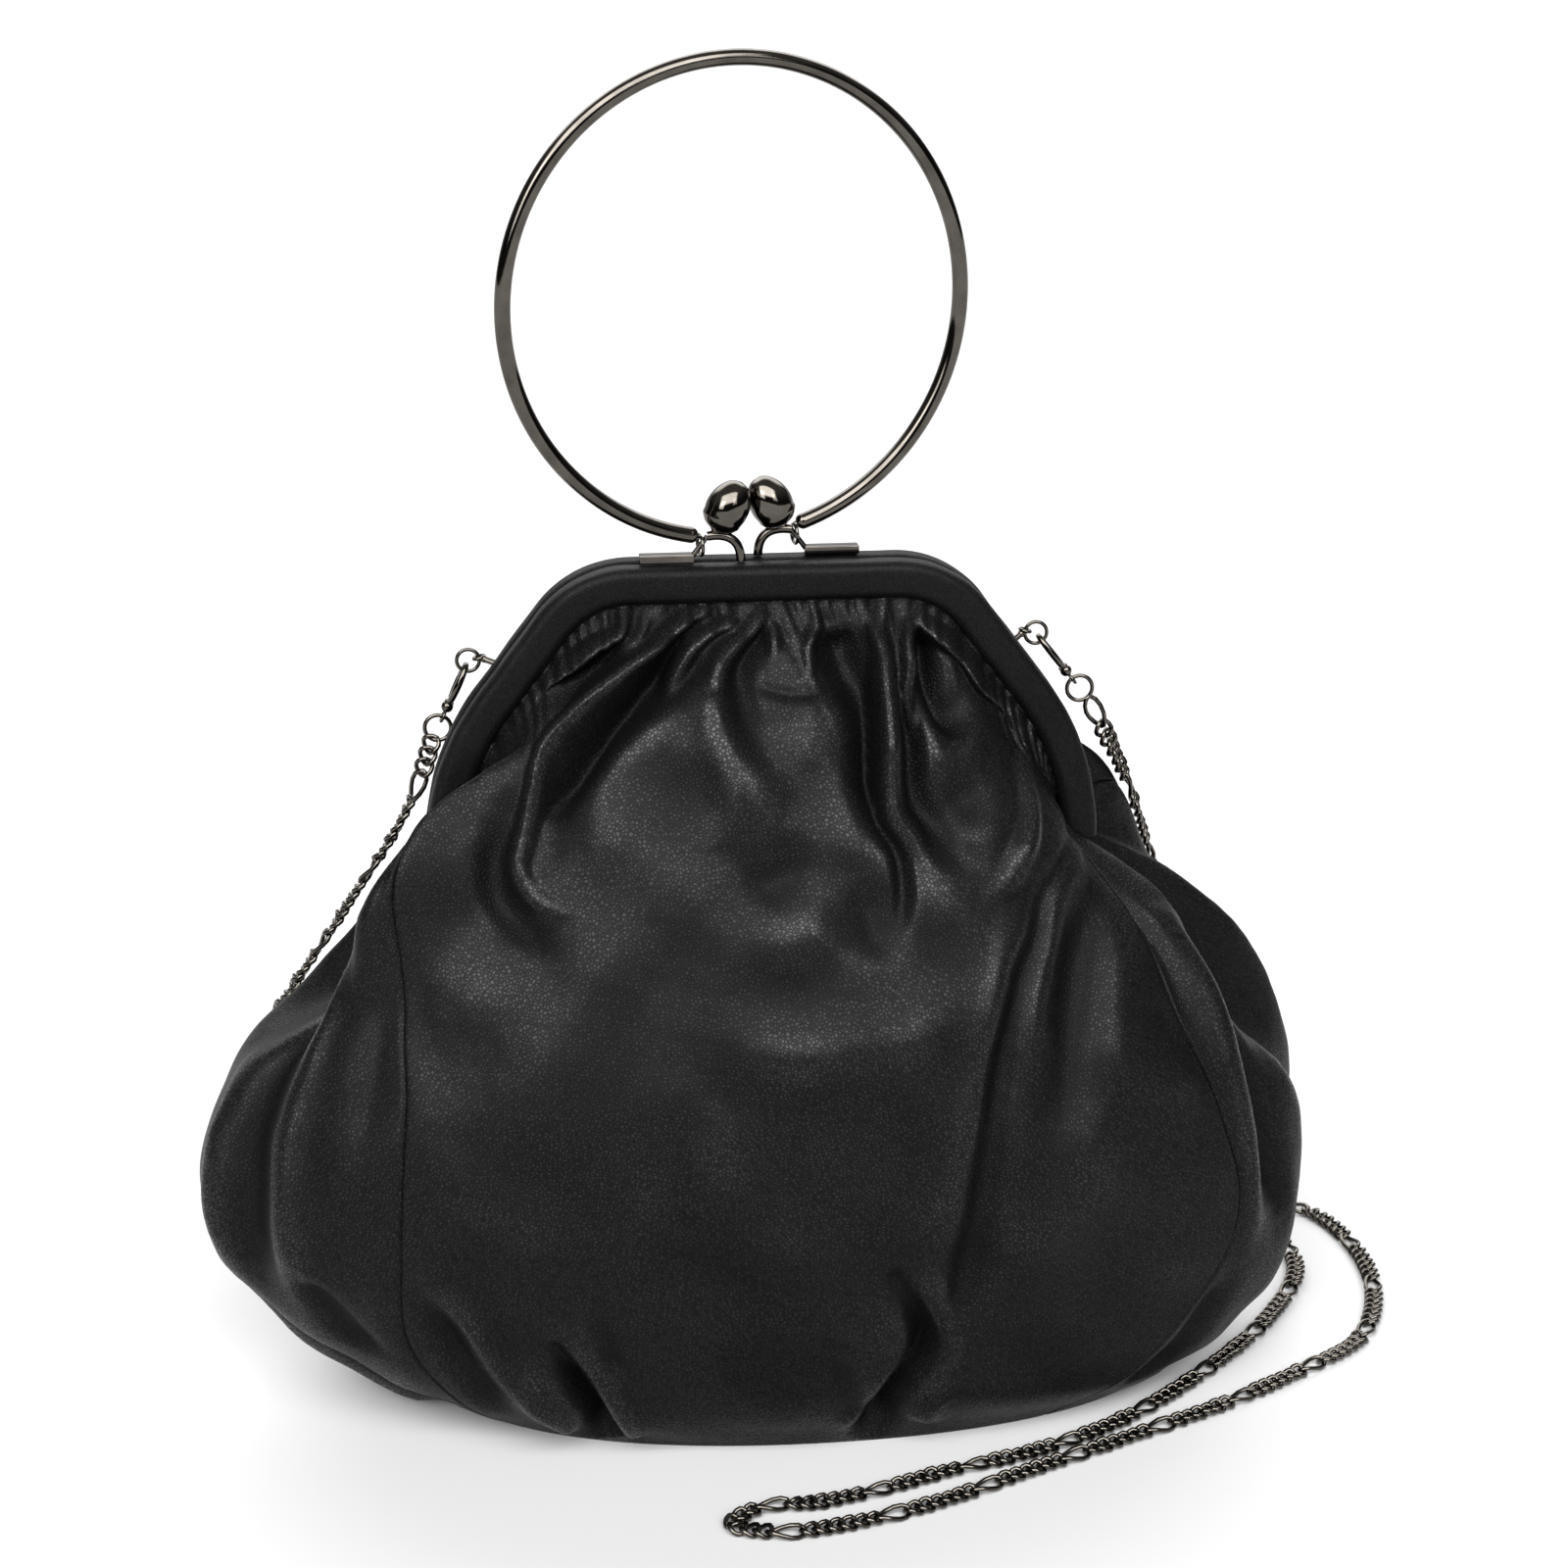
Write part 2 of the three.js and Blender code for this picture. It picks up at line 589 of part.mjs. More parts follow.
// How far a swelling moves a place on the wall: forwards first, clear of the frame, and then out and up.
function puffMove({ angle, turn, way, reach, outwards, forwards, up }, placeAngle, placeWay) {
  const turned = THREE.MathUtils.euclideanModulo(placeAngle - angle + 180, 360) - 180;
  const share = tuckShare(turned, 0, turn) * (1 - smoothstep(placeWay, way, way + reach));
  const clear = share * smoothstep(placeWay, 0, way / 2);
  const swollen = share * smoothstep(placeWay, way / 3, way);
  const front = Math.abs(angle) < 90 ? -1 : 1;
  return vec(Math.sign(angle) * outwards * swollen, front * forwards * clear, up * swollen);
}

// The pouch's smooth outside, before its gathers and folds.
function smoothOutside(angle, way) {
  const place = roundFromFront(angle);
  const rim = rimPoint(place);
  const turn = degToRad(angle);
  const depth = levelAt(place.side < 0 ? "tuckLeft" : "tuckRight", way);
  const tuck = depth * tuckShare(place.away, POUCH.tuckAt, POUCH.tuckWidth);
  const x = levelAt("shift", way) + levelAt("halfWidth", way) * bent(Math.sin(turn)) - place.side * tuck;
  const y = -levelAt("halfDepth", way) * bent(Math.cos(turn));
  const z = rimEnd.z * levelAt("height", way) + (rim.z - rimEnd.z) * levelAt("arch", way);
  const spread = levelAt("spread", way);
  const leave = levelAt("leave", way);
  const point = vec(lerp(rim.x, x, spread), lerp(rim.y, y, leave), Math.max(z, 0));
  PUFFS.forEach((puff) => point.add(puffMove(puff, angle, way)));
  return point;
}

// The outward direction of a surface given by angle and way down.
function outward(surface, angle, way) {
  const stepAngle = 1.2;
  const stepWay = 0.012;
  const across = surface(angle + stepAngle, way).sub(surface(angle - stepAngle, way));
  const down = surface(angle, Math.min(way + stepWay, 1)).sub(surface(angle, Math.max(way - stepWay, 0)));
  return down.cross(across).normalize();
}

const foldCurves = FOLDS.map((fold) => {
  const curve = new THREE.QuadraticBezierCurve(
    new THREE.Vector2(fold.x0, fold.z0),
    new THREE.Vector2(fold.x1, fold.z1),
    new THREE.Vector2(fold.x2, fold.z2),
  );
  return { ...fold, points: curve.getPoints(FOLD_ENDS.points) };
});

// How far the folds lift the leather at a place on the front.
function foldRise(x, z) {
  const here = new THREE.Vector2(x, z);
  let rise = 0;
  for (const fold of foldCurves) {
    const away = fold.points.map((point) => point.distanceTo(here));
    const nearest = Math.min(...away);
    const along = away.indexOf(nearest) / (away.length - 1);
    const begun = smoothstep(along, 0, FOLD_ENDS.fadeIn);
    const ended = FOLD_ENDS.lostAtEnd * smoothstep(along, FOLD_ENDS.fadeOut, 1);
    const strength = lerp(FOLD_ENDS.atStart, 1, begun * (1 - ended));
    rise += fold.rise * strength * Math.exp(-((nearest / fold.width) ** 2));
  }
  return rise;
}

// How far the gathers under the frame lift the leather.
function gatherRise(away, side, way) {
  const fromMiddle = (side * away) / SEAM;
  const sway = GATHERS.sway * Math.sin(GATHERS.swayTurn * fromMiddle + GATHERS.swayStart);
  const wave = Math.cos(Math.PI * GATHERS.count * (fromMiddle + 1) + sway);
  return GATHERS.rise * wave * Math.exp(-way / GATHERS.wayDown);
}

// The pouch's outside with its gathers and folds.
function outside(angle, way) {
  const point = smoothOutside(angle, way);
  const { side, away } = roundFromFront(angle);
  const fromMiddle = Math.min(away, 180 - away);
  const panelShare = 1 - smoothstep(fromMiddle, SEAM - SMOOTH.seam, SEAM);
  if (panelShare === 0) {
    return point;
  }
  const folds = away < 90 ? foldRise(point.x, point.z) : 0;
  const wallShare = smoothstep(way, 0, SMOOTH.rim) * (1 - smoothstep(way, SMOOTH.base, 1));
  const rise = panelShare * wallShare * (folds + gatherRise(fromMiddle, side, way));
  return point.addScaledVector(outward(smoothOutside, angle, way), rise);
}

// The flat base inside the edge it rests on: the front and back run to the bottom seam, the gussets to the
// ends of it.
function basePoint(angle, share) {
  const edge = outside(angle, 1);
  const { side, away } = roundFromFront(angle);
  const seamCorner = smoothOutside(side * SEAM, 1);
  if (away < SEAM || away > TO_BACK) {
    const half = (away < 90 ? -1 : 1) * LEATHER.seamGap / 2;
    edge.y = lerp(edge.y, POUCH.baseSeamY + half, share);
  } else {
    edge.x = lerp(edge.x, seamCorner.x + side * LEATHER.seamGap, share);
  }
  edge.z = 0;
  return edge;
}

// One panel: its outer and inner walls on the same grid, closed along its edges.
function leatherPanel({ name, from, to, inset, start, across, down, base }) {
  const rows = down + base;
  const outer = [];
  const inner = [];
  const floorUp = vec(0, 0, -1);
  for (let j = 0; j <= rows; j += 1) {
    const onBase = j > down;
    const way = onBase ? 1 : lerp(start, 1, (j / down) ** CROWD_UP);
    for (let i = 0; i <= across; i += 1) {
      const angle = lerp(from + inset, to - inset, i / across);
      const point = onBase ? basePoint(angle, (j - down) / base) : outside(angle, way);
      const normal = onBase ? floorUp.clone() : outward(outside, angle, way);
      if (j === down) {
        normal.add(floorUp).normalize();
      }
      const lift = j === down ? LEATHER.wall / Math.max(-normal.z, POUCH.bottomCurve) : LEATHER.wall;
      outer.push(point);
      inner.push(point.clone().addScaledVector(normal, -lift));
    }
  }
  const width = across + 1;
  const half = outer.length;
  const index = [];
  const corners = [...outer, ...inner];
  const quad = (a, b, c, d) => {
    const acShorter = corners[a].distanceTo(corners[c]) < corners[b].distanceTo(corners[d]);
    index.push(...(acShorter ? [a, b, c, a, c, d] : [a, b, d, b, c, d]));
  };
  for (let j = 0; j < rows; j += 1) {
    for (let i = 0; i < across; i += 1) {
      const a = j * width + i;
      quad(a, a + width, a + width + 1, a + 1);
      quad(half + a, half + a + 1, half + a + width + 1, half + a + width);
    }
  }
  for (let i = 0; i < across; i += 1) {
    const last = rows * width + i;
    quad(i, i + 1, half + i + 1, half + i);
    quad(last + 1, last, half + last, half + last + 1);
  }
  for (let j = 0; j < rows; j += 1) {
    const left = j * width;
    const right = left + across;
    quad(left + width, left, half + left, half + left + width);
    quad(right, right + width, half + right + width, half + right);
  }
  const geometry = new THREE.BufferGeometry().setFromPoints(corners);
  geometry.setIndex(index);
  return piece(name, closed(geometry), blackLeather());
}

const pouch = new THREE.Group();
pouch.add(...PANELS.map(leatherPanel));
pouch.add(frameHalf("frame_front", -RAIL_Y), frameHalf("frame_back", RAIL_Y));
pouch.add(hinge("hinge_left", -1), hinge("hinge_right", 1));
pouch.add(claspHalf("clasp_left", -1), claspHalf("clasp_right", 1), ringHandle());
pouch.add(...SIDES.map(sideHardware));
pouch.add(shoulderChain());

export default pouch;
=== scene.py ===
"""Looks for a soft black leather pouch on a leather-covered purse frame, with a kiss-lock clasp, an open
ring handle and a shoulder chain of curb and long links. Sizes in the tables are in millimetres."""
import math

import bpy
import numpy as np
from mathutils import Matrix, Vector


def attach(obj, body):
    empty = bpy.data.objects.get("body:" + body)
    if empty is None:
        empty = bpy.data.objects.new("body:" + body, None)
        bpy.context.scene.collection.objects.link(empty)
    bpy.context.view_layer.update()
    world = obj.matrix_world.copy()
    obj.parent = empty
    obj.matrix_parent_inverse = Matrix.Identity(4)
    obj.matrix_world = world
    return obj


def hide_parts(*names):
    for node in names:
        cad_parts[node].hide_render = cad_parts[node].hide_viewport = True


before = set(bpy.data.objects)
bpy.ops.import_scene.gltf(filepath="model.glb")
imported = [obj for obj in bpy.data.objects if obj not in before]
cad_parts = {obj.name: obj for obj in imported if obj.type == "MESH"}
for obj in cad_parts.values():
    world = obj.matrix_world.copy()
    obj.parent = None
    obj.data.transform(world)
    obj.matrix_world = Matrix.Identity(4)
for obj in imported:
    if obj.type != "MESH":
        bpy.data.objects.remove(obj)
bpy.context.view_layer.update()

MM = 0.001

# The frame, the clasp, the handle and the side hardware.
RAIL = dict(top=237.0, flat_half=36.0, corner=26.0, corner_turn=math.radians(53), side=28.0,
            lower=70.0, height=10.4, depth=8.6, edge=3.2, y=4.45, under=0.1, inwards=0.3, meets=0.03,
            slack=0.07, slack_length=11)
CLASP = dict(x=-3.4, y=2.8, bar_inner=15.2, bar_outer=30.0, bar_depth=4.0, bar_thick=2.3, bar_round=0.35,
             bar_z=242.5, above_rail=0.3, leg_foot=16.2, arch_top=11.6, arch_height=7.2, inner_foot=2.6,
             outer_wire=0.75, inner_wire=1.3, knob_inside=1.2, knob_tilt=math.radians(30),
             knob_inwards=math.radians(3))
HANDLE = dict(radius=63.1, wire=2.2, axis_z=247.5, eye_rise=0.6, eye_radius=2.65, eye_wire=0.5,
              beyond_eye=2.6, above_axis=3.2, neck_wire=0.8)
SIDES = (
    dict(name="left", sign=-1, ring_x=79.5, ring_z=212.5, tilt=math.radians(25), rail_x=69.8, rail_z=211.5),
    dict(name="right", sign=1, ring_x=78.0, ring_z=215.5, tilt=math.radians(38), rail_x=69.0, rail_z=212.5),
)
HARDWARE_Y = 13.0
SIDE_RING = dict(radius=3.1, wire=0.55)
END_RING = dict(radius=3.6, wire=0.6)
CHAIN_GAP = 0.3
POST = dict(eye_radius=1.5, eye_wire=0.5, wire=0.9, above_ring=math.radians(14.5), off_rail=0.3,
            bead=1.15, bead_off_eye=0.2)
HOOK = dict(half_width=3.0, half_length=5.6, wire=0.9, top_above_ring=1.6, nose_at=math.radians(70),
            ball=1.7, ball_at=11.2, collar_above=1.4, collar_radius=1.0, collar_wire=0.45,
            eye_at=14.2, eye_radius=1.5, eye_wire=0.5,
            lever_tip=math.radians(80), lever_pivot=math.radians(145), lever_wire=0.75,
            nose=0.82, pivot=1.05)
# How the hook's wire swells: the share of the way from its foot to its nose, and the share of its thickness.
HOOK_SWELL = ((0, 1.05), (0.35, 1.15), (0.8, 0.95), (1, 0.8))


def smoothstep(value, low, high):
    """Eases from 0 to 1 as the value goes from low to high."""
    t = np.clip((value - low) / (high - low), 0, 1)
    return t * t * (3 - 2 * t)


def drawn(points, count):
    """Evenly spread points on a smooth curve through the given ones."""
    p = np.asarray(points, float)
    p = np.vstack([2 * p[0] - p[1], p, 2 * p[-1] - p[-2]])
    fine = []
    for a, b, c, d in zip(p[:-3], p[1:-2], p[2:-1], p[3:]):
        k0 = max(np.linalg.norm(b - a) ** 0.5, 1e-6)
        k1 = max(np.linalg.norm(c - b) ** 0.5, 1e-6)
        k2 = max(np.linalg.norm(d - c) ** 0.5, 1e-6)
        m1 = (c - b) + k1 * ((b - a) / k0 - (c - a) / (k0 + k1))
        m2 = (c - b) + k1 * ((d - c) / k2 - (d - b) / (k1 + k2))
        t = np.linspace(0, 1, 40, endpoint=False)[:, None]
        fine.append((2 * t**3 - 3 * t**2 + 1) * b + (t**3 - 2 * t**2 + t) * m1
                    + (3 * t**2 - 2 * t**3) * c + (t**3 - t**2) * m2)
    fine = np.vstack(fine + [p[-2:-1]])
    along = np.concatenate([[0], np.cumsum(np.linalg.norm(np.diff(fine, axis=0), axis=1))])
    at = np.linspace(0, along[-1], count)
    return np.stack([np.interp(at, along, fine[:, k]) for k in range(p.shape[1])], -1)


# The pouch's smooth form. Each row of LEVELS is a section round the pouch on its way from rim to base.
LEVEL_COLUMNS = ("way", "height", "arch", "spread", "leave", "half_width", "shift", "half_depth", "tuck_left",
                 "tuck_right")
LEVELS = np.array((
    (0.00, 1.000, 1.00, 0.00, 0.00, 112, 0, 40, 18, 18),
    (0.10, 0.905, 0.93, 0.56, 0.32, 130, 3, 50, 38, 38),
    (0.22, 0.790, 0.78, 0.87, 0.58, 142, 6, 57, 46, 42),
    (0.36, 0.655, 0.54, 0.98, 0.82, 154, 4, 62, 12, 36),
    (0.50, 0.520, 0.30, 1.00, 0.96, 161, 1, 65, 7, 17),
    (0.64, 0.375, 0.12, 1.00, 1.00, 164, 1, 66, 5, 14),
    (0.78, 0.220, 0.04, 1.00, 1.00, 156, 5, 63, 4, 15),
    (0.90, 0.080, 0.01, 1.00, 1.00, 131, 11, 58, 4, 9),
    (1.00, 0.000, 0.00, 1.00, 1.00, 103, 13, 48, 2, 4),
))
POUCH = dict(wall=1.6, seam=44.0, squareness=2.15, rim_below=0.4, rim_trim=12.0, rim_y=5.8, rim_held=3.0,
             tuck_drop=6.0, tuck_width=27.0, tuck_at=87.0, base_y=14.0, base_rows=3, rows_closer=1.35)

# The four side seams: the place round the pouch of each, in degrees, as it goes from rim to base.
SEAM_WAYS = np.array((0.0, 0.15, 0.32, 0.50, 0.65, 0.80, 1.0))
SEAMS = {
    -44: np.array((-44.0, -42, -41, -38, -38, -43, -53)),
    44: np.array((44.0, 44, 43, 48, 50, 44, 36)),
    136: np.array((136.0, 136, 136, 138, 139, 138, 138)),
    -136: np.array((-136.0, -136, -136, -138, -139, -138, -138)),
}

# Where the leather swells out past the ends of the rail, and how the gussets' front and back lips lie.
PUFFS = (
    dict(angle=-43, turn=18, way=0.09, reach=0.22, outwards=12, forwards=6, up=13),
    dict(angle=137, turn=18, way=0.09, reach=0.22, outwards=16, forwards=6, up=9),
    dict(angle=-47, turn=20, way=0.20, reach=0.25, outwards=9, forwards=2, up=2),
    dict(angle=-62, turn=18, way=0.34, reach=0.60, outwards=-5, forwards=0, up=0),
    dict(angle=-118, turn=34, way=0.26, reach=0.60, outwards=-6, forwards=0, up=0),
    dict(angle=64, turn=18, way=0.30, reach=0.55, outwards=-10, forwards=0, up=0),
    dict(angle=120, turn=30, way=0.52, reach=0.48, outwards=6, forwards=0, up=0),
)


def through(w, v, way):
    """A smooth curve through rows of places and values, read at each way."""
    last = len(w) - 1
    k = np.clip(np.searchsorted(w, way, side="right") - 1, 0, last - 1)
    before = np.clip(k - 1, 0, last)
    after = np.clip(k + 2, 0, last)
    span = w[k + 1] - w[k]
    low = (v[k + 1] - v[before]) / (w[k + 1] - w[before]) * span
    high = (v[after] - v[k]) / (w[after] - w[k]) * span
    t = (way - w[k]) / span
    return ((2 * t**3 - 3 * t**2 + 1) * v[k] + (t**3 - 2 * t**2 + t) * low
            + (3 * t**2 - 2 * t**3) * v[k + 1] + (t**3 - t**2) * high)


def level(column, way):
    """A column of LEVELS at each way."""
    return through(LEVELS[:, 0], LEVELS[:, LEVEL_COLUMNS.index(column)], way)


def rail_line(t, outside, trim=0.0):
    """x and z of the rail's line, offset outwards, with t from 0 at its left end to 1 at its right end."""
    t = np.asarray(t, float)
    lower_turn = math.pi / 2 - RAIL["corner_turn"]
    stretches = (
        (RAIL["flat_half"], 0),
        ((RAIL["corner"] + outside) * RAIL["corner_turn"], RAIL["corner"] + outside),
        (RAIL["side"], 0),
        ((RAIL["lower"] + outside) * lower_turn - trim, RAIL["lower"] + outside),
    )
    signed = (2 * t - 1) * sum(length for length, _ in stretches)
    left = np.abs(signed)
    heading = np.zeros_like(t)
    x = np.zeros_like(t)
    z = np.full_like(t, RAIL["top"] + outside)
    for length, radius in stretches:
        run = np.minimum(left, length)
        left = left - run
        if radius:
            turned = heading + run / radius
            x = x + radius * (np.sin(turned) - np.sin(heading))
            z = z + radius * (np.cos(turned) - np.cos(heading))
            heading = turned
        else:
            x = x + run * np.cos(heading)
            z = z - run * np.sin(heading)
    return np.sign(signed) * x, z, np.sign(signed) * heading


RIM_OUT = -RAIL["height"] / 2 - POUCH["rim_below"]
RIM_END = [float(v) for v in rail_line(1.0, RIM_OUT, POUCH["rim_trim"])[:2]]


def tucked(away, middle, width):
    """1 at the middle of a fold and 0 at its edges."""
    return np.cos(np.clip((away - middle) / width, -1, 1) * math.pi / 2) ** 2


def rim(side, away):
    """The leather's top edge: along the rail on the panels, and folded inwards on the gussets."""
    seam = POUCH["seam"]
    share = np.clip(np.minimum(away, 180 - away) / seam, 0, 1)
    px, pz, _ = rail_line((1 + side * share) / 2, RIM_OUT, POUCH["rim_trim"])
    py = np.where(away < 90, -POUCH["rim_y"], POUCH["rim_y"])
    fold = tucked(away, 90, 90 - seam)
    gx = side * (RIM_END[0] - LEVELS[0, LEVEL_COLUMNS.index("tuck_left")] * fold)
    gy = POUCH["rim_y"] * (away - 90) / (90 - seam)
    gz = RIM_END[1] - POUCH["tuck_drop"] * fold
    on_panel = (away <= seam) | (away >= 180 - seam)
    return np.where(on_panel, px, gx), np.where(on_panel, py, gy), np.where(on_panel, pz, gz)


def swelling(angle, way):
    """How far the puffs push the leather."""
    moved = np.zeros(angle.shape + (3,))
    for puff in PUFFS:
        turned = np.abs(np.mod(angle - puff["angle"] + 180, 360) - 180)
        share = np.cos(np.clip(turned / puff["turn"], 0, 1) * math.pi / 2) ** 2
        share = share * (1 - smoothstep(way, puff["way"], puff["way"] + puff["reach"]))
        clear = share * smoothstep(way, 0, puff["way"] / 2)
        swollen = share * smoothstep(way, puff["way"] / 3, puff["way"])
        moved[..., 0] += math.copysign(1, puff["angle"]) * puff["outwards"] * swollen
        moved[..., 1] += (-1 if abs(puff["angle"]) < 90 else 1) * puff["forwards"] * clear
        moved[..., 2] += puff["up"] * swollen
    return moved


def tuck_depth(angle, way, later=0.0):
    """How deep the gussets are folded in, with the fold's middle moved towards the back by some degrees."""
    turned = np.mod(angle + 180, 360) - 180
    depth = np.where(turned < 0, level("tuck_left", way), level("tuck_right", way))
    return depth * tucked(np.abs(turned), POUCH["tuck_at"] + later, POUCH["tuck_width"])


def smooth_form(angle, way):
    """Points on the pouch's outside before its folds. angle runs round from the front middle, in degrees."""
    turned = np.mod(angle + 180, 360) - 180
    side = np.where(turned < 0, -1.0, 1.0)
    away = np.abs(turned)
    x0, y0, z0 = rim(side, away)
    power = 2 / POUCH["squareness"]
    sine, cosine = np.sin(np.radians(angle)), np.cos(np.radians(angle))
    x = (level("shift", way) + level("half_width", way) * np.sign(sine) * np.abs(sine) ** power
         - side * tuck_depth(angle, way))
    y = -level("half_depth", way) * np.sign(cosine) * np.abs(cosine) ** power
    z = RIM_END[1] * level("height", way) + (z0 - RIM_END[1]) * level("arch", way)
    points = np.stack([x0 + (x - x0) * level("spread", way), y0 + (y - y0) * level("leave", way),
                       np.maximum(z, 0)], -1)
    return points + swelling(angle, way)


# Hollows and swells of the front. The columns are the rise, the half width at the start and at the end, the
# shares of the line that it grows and fades over, and the line (x, z).
FRONT_HOLLOWS = (
    (-10.0, 5.5, 3.5, 0.10, 0.25,
     ((-20, 224), (-30, 215), (-38, 209), (-46, 202), (-52, 194), (-57, 186), (-61, 176))),
    (3.0, 6.0, 9.0, 0.30, 0.50, ((-40, 222), (-56, 208), (-68, 192), (-73, 176), (-73, 160))),
    (-6.0, 3.5, 3.5, 0.10, 0.40, ((-34, 223), (-40, 219), (-47, 215), (-54, 210), (-61, 206))),
    (-4.2, 3.5, 5.0, 0.15, 0.70,
     ((3, 226), (-5, 221), (-8, 216), (-8, 207), (-6, 200), (-1, 195), (6, 190))),
    (-8.0, 6.0, 5.0, 0.10, 0.45,
     ((18, 225), (21, 216), (25, 210), (27, 202), (27, 190), (28, 180), (30, 168))),
    (-4.0, 1.8, 2.4, 0.30, 0.30,
     ((28, 206), (27, 188), (29, 178), (32, 171), (33, 162), (32, 154), (30, 147))),
    (-5.0, 3.0, 5.0, 0.15, 0.50, ((37, 216), (37, 197), (38, 184), (43, 176), (50, 168), (58, 160))),
    (-9.0, 3.0, 5.0, 0.10, 0.35, ((41, 225), (44, 213), (48, 205), (56, 196))),
    (-3.5, 8.0, 8.0, 0.50, 0.50, ((52, 194), (51, 184), (52, 172))),
    (-4.2, 3.0, 6.5, 0.20, 0.15,
     ((84, 168), (73, 157), (70, 146), (65, 137), (58, 112), (54, 86), (50, 61), (45, 33), (39, 4))),
    (-6.5, 7.0, 9.0, 0.30, 0.60, ((91, 162), (85, 147), (80, 128), (76, 108), (71, 84))),
    (2.0, 5.0, 6.0, 0.30, 0.50, ((62, 152), (55, 128), (47, 96), (43, 66))),
    (-4.5, 4.0, 5.0, 0.30, 0.50, ((-71, 180), (-75, 167), (-73, 158), (-66, 152), (-57, 147))),
    (-0.9, 1.3, 1.3, 0.20, 0.20, ((-5, 213), (4, 210), (12, 210), (19, 213))),
    (1.6, 9.0, 9.0, 0.40, 0.40, ((-8, 202), (4, 200), (18, 201))),
    (4.5, 6.0, 12.0, 0.20, 0.50, ((-15, 218), (-15, 208), (-12, 196), (-7, 184), (-4, 174), (-6, 164))),
    (-2.2, 6.0, 6.0, 0.40, 0.40, ((-12, 160), (0, 166), (12, 172))),
    (1.8, 7.0, 7.0, 0.40, 0.40, ((-8, 144), (4, 150), (17, 158))),
    (-2.6, 6.0, 7.0, 0.40, 0.40, ((22, 166), (25, 154), (26, 142))),
    (3.0, 11.0, 11.0, 0.30, 0.40, ((-30, 126), (-6, 121), (15, 120), (32, 123), (43, 134), (49, 150))),
    (2.8, 11.0, 12.0, 0.30, 0.50, ((92, 112), (82, 88), (69, 59), (64, 42))),
    (2.6, 11.0, 11.0, 0.30, 0.30, ((-46, 60), (-37, 92), (-29, 110), (-18, 93), (-8, 74))),
    (2.8, 3.5, 4.5, 0.40, 0.25, ((-99, 60), (-88, 50), (-80, 36), (-70, 20), (-62, 8))),
    (-3.5, 3.5, 4.5, 0.40, 0.25, ((-100, 54), (-93, 42), (-86, 28), (-76, 12))),
    (2.8, 3.0, 4.0, 0.40, 0.15, ((-73, 40), (-69, 28), (-65, 17), (-56, 5))),
    (-10.0, 2.4, 4.2, 0.45, 0.02, ((-63, 38), (-57, 25), (-53, 16), (-48, 3))),
    (2.5, 4.0, 4.0, 0.40, 0.05, ((-53, 38), (-47, 22), (-42, 5))),
    (-1.8, 3.0, 3.0, 0.40, 0.30, ((-51, 54), (-49, 42), (-45, 26))),
    (-10.0, 3.0, 4.2, 0.50, 0.02, ((29, 57), (35, 46), (38, 36), (37, 29), (33, 22), (28, 12), (24, 1))),
    (3.0, 4.0, 5.0, 0.40, 0.10, ((42, 52), (46, 38), (44, 24), (38, 6))),
    (-2.5, 4.0, 5.0, 0.40, 0.20, ((12, 38), (17, 22), (20, 8))),
)
# Rolls of the front, which lie on the hollows. The columns are the crest at the start, middle and end, the
# half width at the start, middle and end, and the line (x, z).
FRONT_ROLLS = (
    ((5.0, 7.0, -1.0), (1.9, 3.0, 5.5),
     ((-15, 232), (-18, 230), (-24, 227), (-30, 222), (-36, 218), (-42, 213), (-47, 209), (-52, 204),
      (-56, 200), (-60, 194), (-63, 186), (-66, 176), (-68, 167), (-64, 160), (-56, 158), (-46, 158))),
    ((4.0, 6.0, 1.0), (1.7, 2.6, 4.5),
     ((-37, 231), (-39, 226), (-46, 222), (-53, 217), (-59, 213), (-64, 208), (-68, 202), (-72, 196),
      (-77, 188))),
    ((2.0, 2.0, -4.0), (1.6, 2.0, 2.6), ((-32, 231), (-33, 226), (-37, 222), (-43, 216))),
    ((3.5, 3.0, -4.0), (1.6, 2.2, 3.0),
     ((-6, 232), (-8, 228), (-13, 226), (-17, 224), (-21, 220), (-24, 216), (-28, 208))),
    ((3.0, 4.5, -1.0), (2.0, 3.4, 6.5),
     ((1, 231), (-4, 226), (-9, 222), (-12, 219), (-14, 215), (-15, 204), (-13, 197))),
    ((2.0, 1.5, -2.0), (1.6, 2.2, 3.0), ((3, 231), (2, 222), (1, 213))),
    ((3.5, 2.8, -0.5), (1.4, 1.7, 2.0), ((13, 231), (13, 225), (11, 221), (11, 216), (9, 213))),
    ((3.0, 6.5, -1.5), (2.6, 3.2, 5.5),
     ((31, 231), (30, 225), (31, 219), (31, 213), (31, 206), (31, 197), (31, 187), (32, 180), (35, 176),
      (38, 171), (44, 164))),
    ((3.0, 4.0, -4.0), (1.5, 1.9, 2.6), ((46, 229), (41, 227), (38, 222), (38, 215), (37, 208), (39, 201))),
    ((3.5, 6.5, 1.0), (2.0, 3.8, 6.0),
     ((42, 228), (44, 225), (49, 221), (55, 216), (60, 209), (66, 204), (70, 199), (72, 193), (70, 186))),
    ((1.0, 4.0, -2.0), (4.0, 5.5, 9.0), ((69, 188), (70, 177), (67, 168), (61, 161), (50, 157))),
)
